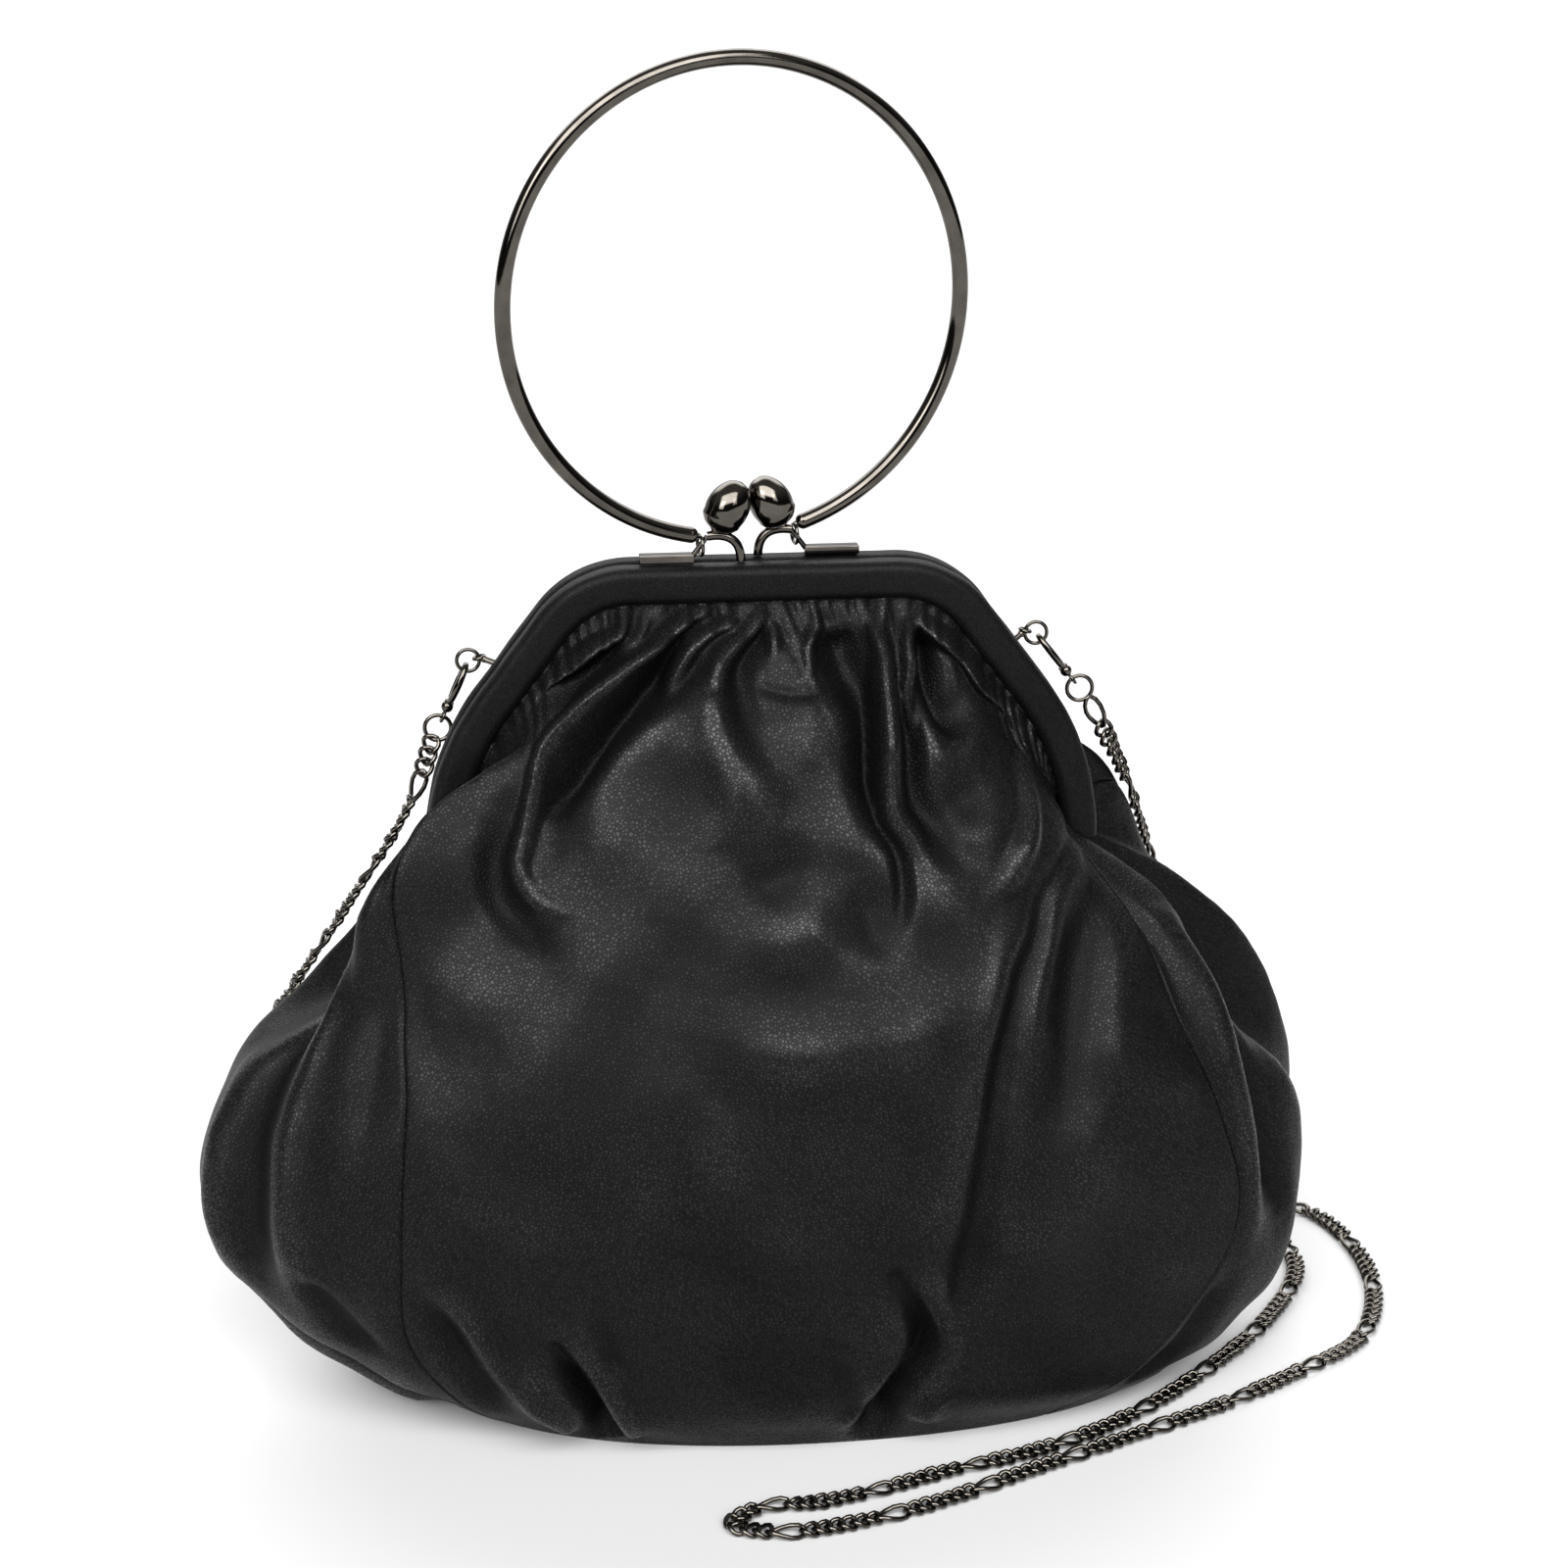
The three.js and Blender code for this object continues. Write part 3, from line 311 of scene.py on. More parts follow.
# Folds of the gussets and the back, in the same columns. The gussets' lines are in (y, z).
LEFT_HOLLOWS = (
    (3.0, 3.0, 4.0, 0.20, 0.30,
     ((-24, 152), (-22, 138), (-25, 127), (-29, 110), (-34, 93), (-38, 78), (-39, 56), (-37, 36))),
    (-4.5, 4.0, 5.5, 0.20, 0.30,
     ((-17, 150), (-13, 138), (-16, 127), (-20, 110), (-25, 93), (-29, 78), (-30, 56), (-29, 40))),
    (-2.5, 2.0, 3.0, 0.20, 0.20, ((-40, 56), (-41, 45), (-40, 30))),
    (3.0, 5.0, 6.0, 0.30, 0.40, ((-8, 104), (-16, 84), (-20, 62), (-18, 40))),
    (-4.5, 4.0, 5.0, 0.40, 0.10, ((-14, 44), (-22, 26), (-30, 6))),
    (3.5, 4.0, 5.0, 0.40, 0.10, ((-6, 40), (-12, 20), (-18, 3))),
    (-5.0, 3.5, 5.0, 0.40, 0.10, ((4, 36), (0, 18), (-6, 2))),
)
RIGHT_HOLLOWS = (
    (3.0, 3.0, 4.0, 0.20, 0.30,
     ((-20, 142), (-31, 118), (-36, 106), (-39, 92), (-41, 78), (-42, 64), (-42, 44))),
    (-7.0, 4.0, 5.5, 0.20, 0.30,
     ((-12, 142), (-22, 120), (-27, 106), (-30, 92), (-32, 78), (-33, 62), (-32, 44))),
    (-3.5, 2.5, 3.0, 0.30, 0.10, ((-44, 44), (-43, 30), (-40, 10))),
    (3.5, 6.0, 8.0, 0.30, 0.50, ((-10, 110), (-14, 86), (-14, 60), (-10, 36))),
    (-4.0, 4.0, 5.0, 0.40, 0.10, ((-14, 40), (-20, 22), (-26, 4))),
)
BACK_HOLLOWS = (
    (-8.0, 4.0, 8.0, 0.20, 0.60, ((8, 224), (26, 200), (34, 176), (34, 150))),
    (-7.0, 5.0, 7.0, 0.20, 0.60, ((-22, 224), (-28, 200), (-24, 172))),
    (-6.0, 5.0, 8.0, 0.20, 0.60, ((-52, 214), (-64, 196), (-70, 172))),
    (-4.5, 9.0, 11.0, 0.30, 0.50, ((64, 150), (56, 110), (48, 70), (34, 30))),
    (-6.0, 4.0, 5.0, 0.50, 0.05, ((-50, 40), (-44, 20), (-40, 2))),
    (-6.0, 4.0, 5.0, 0.50, 0.05, ((46, 40), (42, 20), (38, 2))),
)
BACK_ROLLS = (
    ((3.0, 6.0, -2.0), (2.5, 4.0, 7.0), ((20, 231), (40, 210), (50, 185), (50, 158))),
    ((3.0, 5.0, -2.0), (2.5, 6.0, 10.0), ((-6, 231), (-12, 206), (-8, 182), (-12, 160))),
    ((3.0, 6.0, -2.0), (2.5, 4.0, 7.0), ((-36, 229), (-44, 206), (-54, 184), (-54, 160))),
)
ROLL = dict(tall=1.8, edge=0.97, steep=4.0, blend=1.3)
GATHERS = dict(count=40, rise=2.2, valley=0.64, uneven=0.5, reach_low=0.025, reach_more=0.05, lean=1.2,
               fade=1.4, from_rim=0.02)
# How slack the leather lies, the groove along each seam, and the painted shade (a thinner coat) deep in the
# gussets' folds.
SLACK = dict(size=0.62, length=32, fine_size=0.04, fine_length=8)
GROOVE = dict(depth=0.55, half_width=0.0028, below_rim=0.03)
PAINTED_FOLD_SHADE = dict(later=14.0, from_depth=12, painted_shade=0.12)
CREST_REACH = 7


def along_line(spots, line, reach):
    """Which spots lie near a smooth line, how far each is from it, and its share of the way along."""
    points = drawn(line, 90)
    near = np.flatnonzero(((spots > points.min(0) - reach) & (spots < points.max(0) + reach)).all(1))
    apart = np.linalg.norm(spots[near][:, None] - points[None], axis=2)
    return near, apart.min(1), apart.argmin(1) / (len(points) - 1)


def fold_heights(u, z, hollows, rolls):
    """How far the folds lift the leather at points given by one level coordinate and the height."""
    spots = np.stack([u.ravel(), z.ravel()], -1)
    heights = np.zeros(len(spots))
    for rise, start, end, grows, fades, line in hollows:
        near, apart, t = along_line(spots, line, 3 * max(start, end))
        strength = (0.25 + 0.75 * smoothstep(t, 0, grows)) * (1 - smoothstep(t, 1 - fades, 1))
        heights[near] += rise * strength * np.exp(-(apart / (start + (end - start) * t)) ** 2)
    for crests, widths, line in rolls:
        near, apart, t = along_line(spots, line, 2 * max(widths))
        crest = np.interp(t, (0, 0.5, 1), crests)
        width = np.interp(t, (0, 0.5, 1), widths)
        share = np.minimum(apart / width, ROLL["edge"])
        rolled = crest - ROLL["tall"] * width * (1 - np.sqrt(1 - share**2))
        rolled -= ROLL["steep"] * np.maximum(apart - ROLL["edge"] * width, 0)
        gap = np.maximum(ROLL["blend"] - np.abs(rolled - heights[near]), 0) / ROLL["blend"]
        heights[near] = np.maximum(rolled, heights[near]) + gap**2 * ROLL["blend"] / 4
    return heights.reshape(u.shape)


def gather_heights(share, way, seed):
    """Uneven gathers where the rim is drawn into the frame: rounded tops with sharp valleys between."""
    rng = np.random.default_rng(seed)
    count = GATHERS["count"]
    sizes = 1 + GATHERS["uneven"] * rng.uniform(-1, 1, count + 6)
    reaches = GATHERS["reach_low"] + GATHERS["reach_more"] * rng.uniform(0, 1, count + 6) ** 2
    shifts = rng.uniform(0, 2 * math.pi, 4)
    sway = 0.5 * np.sin(9 * share + shifts[0]) + 0.3 * np.sin(23 * share + shifts[1])
    lean = GATHERS["lean"] * way / GATHERS["reach_more"] * (0.4 * np.sin(7 * share + shifts[2]) - 0.5 * share)
    place = np.clip(count * (share + 1) / 2 + sway + lean + 2.5, 0, count + 4.999)
    index = np.floor(place).astype(int)
    across = place - index
    shape = np.abs(np.sin(math.pi * across)) - GATHERS["valley"]
    reach = reaches[index]
    starting = smoothstep(way, -GATHERS["from_rim"], GATHERS["from_rim"])
    fading = np.exp(-(way / reach) ** GATHERS["fade"])
    return GATHERS["rise"] * sizes[index] * shape * fading * starting


def slack_heights(points, seed, size, length):
    """Slow undulation of slack leather, from a few waves that cross each other."""
    rng = np.random.default_rng(seed)
    total = np.zeros(points.shape[:-1])
    for _ in range(9):
        direction = rng.normal(size=3)
        direction *= 2 * math.pi / (length * rng.uniform(0.6, 1.6) * np.linalg.norm(direction))
        total += np.sin(points @ direction + rng.uniform(0, 2 * math.pi))
    return size * total / 3


def column_shares(count):
    """Places across a panel from 0 to 1, close together beside its two seams."""
    beside = np.array((0.0015, 0.003, 0.0045, 0.0065))
    return np.unique(np.concatenate([np.linspace(0, 1, count), beside, 1 - beside]))


def seam_at(angle, way):
    """Where the seam that starts at an angle of the rim lies at each way."""
    key = int((angle + 180) % 360 - 180)
    return angle + through(SEAM_WAYS, SEAMS[key], way) - key


def outward(form):
    """Directions straight out of a sheet of points."""
    across = np.gradient(form, axis=1)
    down = np.gradient(form, axis=0)
    normal = np.cross(across, down)
    size = np.linalg.norm(normal, axis=2, keepdims=True)
    return -normal / np.maximum(size, 1e-9)


def leather_panel(name, start, end, columns, rows, hollows, rolls, seed, gathered=True, level_axis=0):
    """A sewn panel of the pouch as a closed leather shell from rim to base seam, turned in under the base."""
    share, way = np.meshgrid(column_shares(columns), np.linspace(0, 1, rows) ** POUCH["rows_closer"])
    first, last = seam_at(start, way), seam_at(end, way)
    angle = first + (last - first) * share
    form = smooth_form(angle, way)
    normal = outward(smooth_form(angle, np.clip(way, 0.004, 0.996)))
    facing_y = math.copysign(1, form[rows // 2, columns // 2, 1])
    if gathered:
        ahead = np.array((0, facing_y, 0))
        normal = ahead + (normal - ahead) * smoothstep(way, 0.02, 0.12)[..., None]
        normal /= np.linalg.norm(normal, axis=2, keepdims=True)
    lift = fold_heights(form[..., level_axis], form[..., 2], hollows, rolls)
    if gathered:
        lift *= smoothstep(way, -0.01, 0.05)
        lift += gather_heights(2 * share - 1, way, seed)
    lift += slack_heights(form, seed + 1, SLACK["size"], SLACK["length"]) * smoothstep(way, 0.02, 0.2)
    lift += slack_heights(form, seed + 2, SLACK["fine_size"], SLACK["fine_length"])
    edge = np.minimum(share, 1 - share)
    lift *= (1 - smoothstep(way, 0.94, 1.0)) * smoothstep(edge, -0.004, 0.05)
    groove = GROOVE["depth"] * np.exp(-(edge / GROOVE["half_width"]) ** 2) * (way > GROOVE["below_rim"])
    outside = form + normal * (lift - groove)[..., None]
    outside[..., 2] = np.maximum(outside[..., 2], 0)
    inside = form + normal * (lift - POUCH["wall"])[..., None]
    inside[..., 2] = np.maximum(inside[..., 2], POUCH["wall"] * smoothstep(way, 0.0, 0.9))

    seam_y = np.sign(outside[-1, :, 1]) * np.minimum(np.abs(outside[-1, :, 1]), POUCH["base_y"])
    turned_in = np.repeat(outside[-1:], POUCH["base_rows"], axis=0)
    turned_in[..., 1] += (seam_y - turned_in[..., 1]) * np.linspace(0, 1, POUCH["base_rows"] + 1)[1:, None]
    inner_floor = turned_in.copy()
    inner_floor[..., 2] = POUCH["wall"]
    outside = np.concatenate([outside, turned_in])
    inside = np.concatenate([inside, inner_floor])
    if gathered:
        along_rail = share[0] if facing_y < 0 else 1 - share[0]
        x, z, _ = rail_line(along_rail, RIM_OUT + POUCH["rim_held"], POUCH["rim_trim"])
        held_outside = np.stack([x, outside[0, :, 1], z], -1)[None]
        held_inside = np.stack([x, inside[0, :, 1], z], -1)[None]
        outside = np.concatenate([held_outside, outside])
        inside = np.concatenate([held_inside, inside])
        lift = np.concatenate([lift[:1], lift])
    # Crest heights feed the leather's coat: a painted sheen on fold tops and painted shade in fold valleys.
    crest = lift - eased(lift, CREST_REACH)
    if not gathered:
        # Painted shade: the coat is thinned deep in the gussets' folds so that they look darker.
        folded = tuck_depth(angle, way, PAINTED_FOLD_SHADE["later"])
        crest -= PAINTED_FOLD_SHADE["painted_shade"] * np.maximum(folded - PAINTED_FOLD_SHADE["from_depth"], 0)
    return shell(name, outside, inside, crest)


def eased(values, reach):
    """The same rows and columns with their detail smoothed away."""
    for axis in (0, 1, 0, 1):
        first, last = values.take([0] * reach, axis), values.take([-1] * reach, axis)
        total = np.cumsum(np.concatenate([first, values, last], axis), axis)
        size = values.shape[axis]
        upper = total.take(range(2 * reach, 2 * reach + size), axis)
        lower = total.take(range(0, size), axis)
        values = (upper - lower) / (2 * reach)
    return values


def add_object(name, data):
    """Puts a mesh or a curve into the scene as an object and selects it alone."""
    obj = bpy.data.objects.new(name, data)
    bpy.context.scene.collection.objects.link(obj)
    bpy.ops.object.select_all(action="DESELECT")
    obj.select_set(True)
    bpy.context.view_layer.objects.active = obj
    return obj


def shell(name, outside, inside, crest):
    """An outside and an inside sheet of the same rows and columns, joined into one closed mesh."""
    rows, columns = outside.shape[:2]
    points = np.concatenate([outside.reshape(-1, 3), inside.reshape(-1, 3)]) * MM
    at = np.arange(rows * columns).reshape(rows, columns)
    quads = np.stack([at[:-1, :-1], at[1:, :-1], at[1:, 1:], at[:-1, 1:]], -1).reshape(-1, 4)
    away = rows * columns
    ring = np.concatenate([at[0, :-1], at[:-1, -1], at[-1, :0:-1], at[:0:-1, 0]])
    after = np.roll(ring, -1)
    walls = np.stack([ring, after, after + away, ring + away], -1)
    faces = np.concatenate([quads, quads[:, ::-1] + away, walls])
    mesh = bpy.data.meshes.new(name)
    mesh.from_pydata(points.tolist(), [], faces.tolist())
    mesh.polygons.foreach_set("use_smooth", np.ones(len(faces), bool))
    # The crest layer carries a painted sheen on fold tops and painted shade in fold valleys.
    painted_light_layer = mesh.attributes.new("crest", "FLOAT", "POINT")
    heights = np.zeros((rows, columns))
    heights[:crest.shape[0]] = crest
    painted_light_layer.data.foreach_set("value", np.concatenate([heights.ravel(), np.zeros(away)]).astype(np.float32))
    mesh.update()
    return add_object(name, mesh)


class Shade:
    """A value in a material's node tree. Arithmetic on it adds nodes."""

    def __init__(self, tree, socket):
        self.tree = tree
        self.socket = socket

    def put(self, kind, settings, output=0, **inputs):
        """Adds a node of that kind with its settings, feeds its inputs, and returns one of its outputs."""
        node = self.tree.nodes.new(kind)
        for key, value in settings.items():
            setattr(node, key, value)
        for key, value in inputs.items():
            numbered = key[0] == "i" and key[1:].isdigit()
            target = node.inputs[int(key[1:]) if numbered else key.replace("_", " ")]
            if isinstance(value, Shade):
                self.tree.links.new(value.socket, target)
            else:
                target.default_value = value
        return Shade(self.tree, node.outputs[output])

    def math(self, operation, *values):
        return self.put("ShaderNodeMath", {"operation": operation},
                        **{f"i{k}": value for k, value in enumerate(values)})

    def __add__(self, other):
        return self.math("ADD", self, other)

    def __sub__(self, other):
        return self.math("SUBTRACT", self, other)

    def __rsub__(self, other):
        return self.math("SUBTRACT", other, self)

    def __mul__(self, other):
        return self.math("MULTIPLY", self, other)

    def __truediv__(self, other):
        return self.math("DIVIDE", self, other)

    def __rtruediv__(self, other):
        return self.math("DIVIDE", other, self)

    __radd__ = __add__
    __rmul__ = __mul__

    def between(self, low, high):
        """Runs from 0 to 1 as this value goes from low to high."""
        return self.put("ShaderNodeMapRange", {"clamp": True, "interpolation_type": "SMOOTHSTEP"},
                        Value=self, From_Min=low, From_Max=high)

    def tint(self, dark, light):
        """A colour between two, picked by this value."""
        return self.put("ShaderNodeMix", {"data_type": "RGBA"}, 2,
                        i0=self, i6=(*dark, 1), i7=(*light, 1))


def new_material(name):
    """An empty material, its surface shader and a value to start from: the place on the object."""
    material = bpy.data.materials.new(name)
    material.use_nodes = True
    tree = material.node_tree
    shader = tree.nodes["Principled BSDF"]
    place = Shade(tree, tree.nodes.new("ShaderNodeTexCoord").outputs["Object"])
    return material, shader, place


def feed(shader, name, value):
    """Links a value to one of a shader's sockets."""
    value.tree.links.new(value.socket, shader.inputs[name])


def noise(place, scale, detail=2.0, roughness=0.5, output=0):
    """Cloudy noise: output 0 is a value and output 1 a colour."""
    return place.put("ShaderNodeTexNoise", {}, output, Vector=place, Scale=scale, Detail=detail,
                     Roughness=roughness)


def cells(place, scale, feature, output=0):
    """A pattern of cells: output 0 is a distance and output 1 a colour for each cell."""
    return place.put("ShaderNodeTexVoronoi", {"feature": feature}, output, Vector=place, Scale=scale)


def leather_material(name, pebble, depth, dark, light, rough, polish):
    """Black leather: rounded pebbles with fine creases between, each polished a little differently."""
    material, shader, place = new_material(name)
    wander = noise(place, 160.0, output=1)
    warped = place.put("ShaderNodeVectorMath", {"operation": "MULTIPLY_ADD"},
                       i0=wander, i1=(0.0009, 0.0009, 0.0009), i2=place)
    pebbles = cells(warped, 1000 / pebble, "DISTANCE_TO_EDGE").between(0.0, 0.42)
    each = cells(warped, 1000 / pebble, "F1", 1)
    hair = noise(place, 5200.0, 3.0)
    worked = noise(place, 38.0, 3.0)
    tone = noise(place, 22.0, 4.0, 0.6)
    height = pebbles * (0.6 + 0.5 * worked) + 0.12 * hair
    bump = place.put("ShaderNodeBump", {}, 0, Strength=1.0, Distance=depth * MM, Height=height)
    feed(shader, "Normal", bump)
    # Painted light: a thicker coat on fold crests is a painted sheen, and a thinner coat in fold valleys is
    # painted shade.
    crest = place.put("ShaderNodeAttribute", {"attribute_name": "crest"}, 2)
    painted_fold_light = 0.2 + 0.6 * crest.between(-1.6, 0.0) + 1.4 * crest.between(0.0, 1.6)
    feed(shader, "Base Color", (0.6 * tone + 0.4 * pebbles).between(0.2, 0.8).tint(dark, light))
    feed(shader, "Roughness", rough - 0.06 + 0.16 * tone - 0.08 * worked + 0.05 * hair)
    uneven = (0.8 + 0.4 * each) * (0.85 + 0.3 * tone)
    feed(shader, "Coat Weight", polish * painted_fold_light * (0.15 + 0.85 * pebbles) * uneven)
    shader.inputs["Specular IOR Level"].default_value = 0.06
    shader.inputs["Coat Roughness"].default_value = 0.32
    shader.inputs["Coat IOR"].default_value = 1.4
    return material


def metal_material(name, dark, light, rough):
    """Polished dark metal with a faint cloudiness and fine rubbing marks."""
    material, shader, place = new_material(name)
    cloud = noise(place, 140.0, 3.0)
    rubbed = noise(place, 2600.0, 2.0)
    feed(shader, "Base Color", (0.7 * cloud + 0.3 * rubbed).between(0.25, 0.75).tint(dark, light))
    feed(shader, "Roughness", rough + 0.09 * cloud * rubbed)
    shader.inputs["Metallic"].default_value = 1.0
    bump = place.put("ShaderNodeBump", {}, 0, Strength=0.12, Distance=0.05 * MM, Height=rubbed)
    feed(shader, "Normal", bump)
    return material


BLACK = dict(dark=(0.002, 0.002, 0.0022), light=(0.0055, 0.0055, 0.006))
POUCH_LEATHER = leather_material("pouch leather", pebble=0.98, depth=0.21, rough=0.48, polish=0.45, **BLACK)
FRAME_LEATHER = leather_material("frame leather", pebble=0.7, depth=0.06, rough=0.5, polish=0.2, **BLACK)
GUNMETAL = metal_material("gunmetal", dark=(0.062, 0.056, 0.049), light=(0.108, 0.098, 0.086), rough=0.05)


def finish_piece(obj, name, node, body, material):
    """Gives a piece its name and finish, and says what it rides on and which node it replaces."""
    obj.name = name
    obj.data.name = name
    obj.data.materials.clear()
    obj.data.materials.append(material)
    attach(obj, body)
    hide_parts(node)


def face_outwards(crisp):
    """Turns the active object's faces outwards and smooths it, with edges crisp past an angle in degrees."""
    bpy.ops.object.mode_set(mode="EDIT")
    bpy.ops.mesh.select_all(action="SELECT")
    bpy.ops.mesh.normals_make_consistent(inside=False)
    bpy.ops.object.mode_set(mode="OBJECT")
    bpy.ops.object.shade_smooth_by_angle(angle=math.radians(crisp))


def metal_piece(parts, node, body):
    """Joins a piece's parts into one object with smooth faces and crisp edges."""
    bpy.ops.object.select_all(action="DESELECT")
    for part in parts:
        part.select_set(True)
    bpy.context.view_layer.objects.active = parts[0]
    if len(parts) > 1:
        bpy.ops.object.join()
    bpy.ops.object.transform_apply(location=True, rotation=True, scale=True)
    face_outwards(38)
    finish_piece(bpy.context.object, node + "_piece", node, body, GUNMETAL)


def wire(points, radius, sides=16, radii=None):
    """A round wire along points in millimetres, drawn as a curve and made into a mesh."""
    points = np.asarray(points, float)
    curve = bpy.data.curves.new("wire", "CURVE")
    curve.dimensions = "3D"
    curve.bevel_depth = radius * MM
    curve.bevel_resolution = max(sides // 4 - 1, 0)
    curve.use_fill_caps = True
    line = curve.splines.new("POLY")
    line.points.add(len(points) - 1)
    line.points.foreach_set("co", np.column_stack([points * MM, np.ones(len(points))]).ravel())
    if radii is not None:
        line.points.foreach_set("radius", np.asarray(radii, float))
    add_object("wire", curve)
    bpy.ops.object.convert(target="MESH")
    return bpy.context.object


def turn_to(direction):
    """The rotation that takes +Z to a direction."""
    return Vector((0, 0, 1)).rotation_difference(Vector(direction)).to_euler()


def ring(centre, axis, radius, thick, segments=40, sides=14):
    """A ring of round wire about an axis."""
    bpy.ops.object.select_all(action="DESELECT")
    bpy.ops.mesh.primitive_torus_add(
        major_radius=radius * MM, minor_radius=thick * MM, major_segments=segments, minor_segments=sides,
        location=[c * MM for c in centre], rotation=turn_to(axis))
    return bpy.context.object


def ball(centre, radius):
    """A round bead."""
    bpy.ops.object.select_all(action="DESELECT")
    bpy.ops.mesh.primitive_uv_sphere_add(segments=24, ring_count=14, radius=radius * MM,
                                         location=[c * MM for c in centre])
    return bpy.context.object


def turned_knob(profile, foot, rotation):
    """A knob turned on a lathe: its outline, radius and place along its axis, spun round the axis."""
    points = drawn(profile, 44)
    points[:, 0] = np.maximum(points[:, 0], 0)
    edges = [(k, k + 1) for k in range(len(points) - 1)]
    mesh = bpy.data.meshes.new("knob")
    mesh.from_pydata([(radius * MM, 0, along * MM) for radius, along in points], edges, [])
    obj = add_object("knob", mesh)
    bpy.ops.object.mode_set(mode="EDIT")
    bpy.ops.mesh.select_all(action="SELECT")
    bpy.ops.mesh.spin(steps=36, angle=2 * math.pi, center=(0, 0, 0), axis=(0, 0, 1))
    bpy.ops.mesh.select_all(action="SELECT")
    bpy.ops.mesh.remove_doubles(threshold=0.00001)
    bpy.ops.object.mode_set(mode="OBJECT")
    obj.matrix_world = Matrix.Translation([c * MM for c in foot]) @ rotation
    return obj


def bar(low, high, bevel):
    """A flat bar between two corners, with its edges rounded."""
    bpy.ops.object.select_all(action="DESELECT")
    bpy.ops.mesh.primitive_cube_add(size=1, location=[(a + b) / 2 * MM for a, b in zip(low, high)])
    obj = bpy.context.object
    obj.scale = [(b - a) * MM for a, b in zip(low, high)]
    bpy.ops.object.transform_apply(location=True, rotation=True, scale=True)
    bpy.ops.object.mode_set(mode="EDIT")
    bpy.ops.mesh.select_all(action="SELECT")
    bpy.ops.mesh.bevel(offset=bevel * MM, segments=4, affect="EDGES")
    bpy.ops.object.mode_set(mode="OBJECT")
    return obj


# The leather: four sewn panels.
PANELS = (
    dict(node="front_panel", start=-44.0, end=44.0, columns=236, rows=190, seed=11,
         hollows=FRONT_HOLLOWS, rolls=FRONT_ROLLS),
    dict(node="gusset_right", start=44.0, end=136.0, columns=120, rows=150, seed=23,
         hollows=RIGHT_HOLLOWS, rolls=(), gathered=False, level_axis=1),
    dict(node="back_panel", start=136.0, end=224.0, columns=180, rows=150, seed=37,
         hollows=BACK_HOLLOWS, rolls=BACK_ROLLS),
    dict(node="gusset_left", start=-136.0, end=-44.0, columns=120, rows=150, seed=41,
         hollows=LEFT_HOLLOWS, rolls=(), gathered=False, level_axis=1),
)
for panel in PANELS:
    settings = {key: value for key, value in panel.items() if key != "node"}
    piece = leather_panel(panel["node"] + "_leather", **settings)
    finish_piece(piece, piece.name, panel["node"], "pouch", POUCH_LEATHER)


def rail_piece(node, side):
    """The leather-covered rail: a soft-edged oblong section carried along the rail's line."""
    steps, corner_steps = 200, 7
    half_d, half_h, edge = RAIL["depth"] / 2, RAIL["height"] / 2, RAIL["edge"]
    section = []
    for k, (sy, sn) in enumerate(((1, 1), (-1, 1), (-1, -1), (1, -1))):
        for turn in np.linspace(0, math.pi / 2, corner_steps):
            bend = turn + k * math.pi / 2
            section.append((sy * (half_d - edge) + edge * math.cos(bend),
                            sn * (half_h - edge) + edge * math.sin(bend)))
    section = np.array(section)
    x, z, heading = rail_line(np.linspace(0, 1, steps), 0)
    rings = np.zeros((steps, len(section), 3))
    rings[..., 0] = x[:, None] + section[:, 1] * np.sin(heading)[:, None]
    rings[..., 1] = side * RAIL["y"] + section[:, 0]
    rings[..., 2] = z[:, None] + section[:, 1] * np.cos(heading)[:, None]
    centre = np.stack([x, np.full(steps, side * RAIL["y"]), z], -1)[:, None]
    outward_line = (rings - centre) / np.linalg.norm(rings - centre, axis=2, keepdims=True)
    slack = slack_heights(rings, 5 + side, RAIL["slack"], RAIL["slack_length"])
    rings += outward_line * (slack - RAIL["under"])[..., None]
    inner = side * section[:, 0] < RAIL["edge"] - half_d
    rings[:, inner, 1] = side * np.maximum(side * rings[:, inner, 1] - RAIL["inwards"], RAIL["meets"])
    count = len(section)
    at = np.arange(steps * count).reshape(steps, count)
    beside = np.roll(at, -1, axis=1)
    faces = np.stack([at[:-1], at[1:], beside[1:], beside[:-1]], -1).reshape(-1, 4).tolist()
    faces += [at[0].tolist(), at[-1, ::-1].tolist()]
    mesh = bpy.data.meshes.new(node)
    mesh.from_pydata((rings.reshape(-1, 3) * MM).tolist(), [], faces)
    obj = add_object(node, mesh)
    face_outwards(40)
    finish_piece(obj, node + "_rail", node, "pouch", FRAME_LEATHER)


rail_piece("frame_front", -1)
rail_piece("frame_back", 1)

for hinge in ("hinge_left", "hinge_right"):
    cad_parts[hinge].data.materials.clear()
    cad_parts[hinge].data.materials.append(GUNMETAL)

# The clasp: two like halves, the left one turned half round, each a bar on the rail, a leg up to its knob and
# a curved inner foot.
# The knob's outline is given as (radius, place along its axis).
KNOB = ((0, -0.5), (0.6, -0.4), (0.75, 1.2), (2.2, 2.0), (3.9, 2.9), (5.5, 4.9), (5.5, 5.5), (5.9, 8.2),
        (5.4, 11.6), (3.8, 14.6), (2.2, 16.0), (0, 16.6))
LEG_Z = CLASP["bar_z"] + CLASP["outer_wire"]
ARCH_Z = CLASP["bar_z"] - CLASP["above_rail"] + CLASP["arch_height"]


def bow(start, bend, end, count):
    """Points on a simple bow from start to end, drawn towards bend."""
    t = np.linspace(0, 1, count)[:, None]
    return (1 - t) ** 2 * np.array(start) + 2 * t * (1 - t) * np.array(bend) + t**2 * np.array(end)


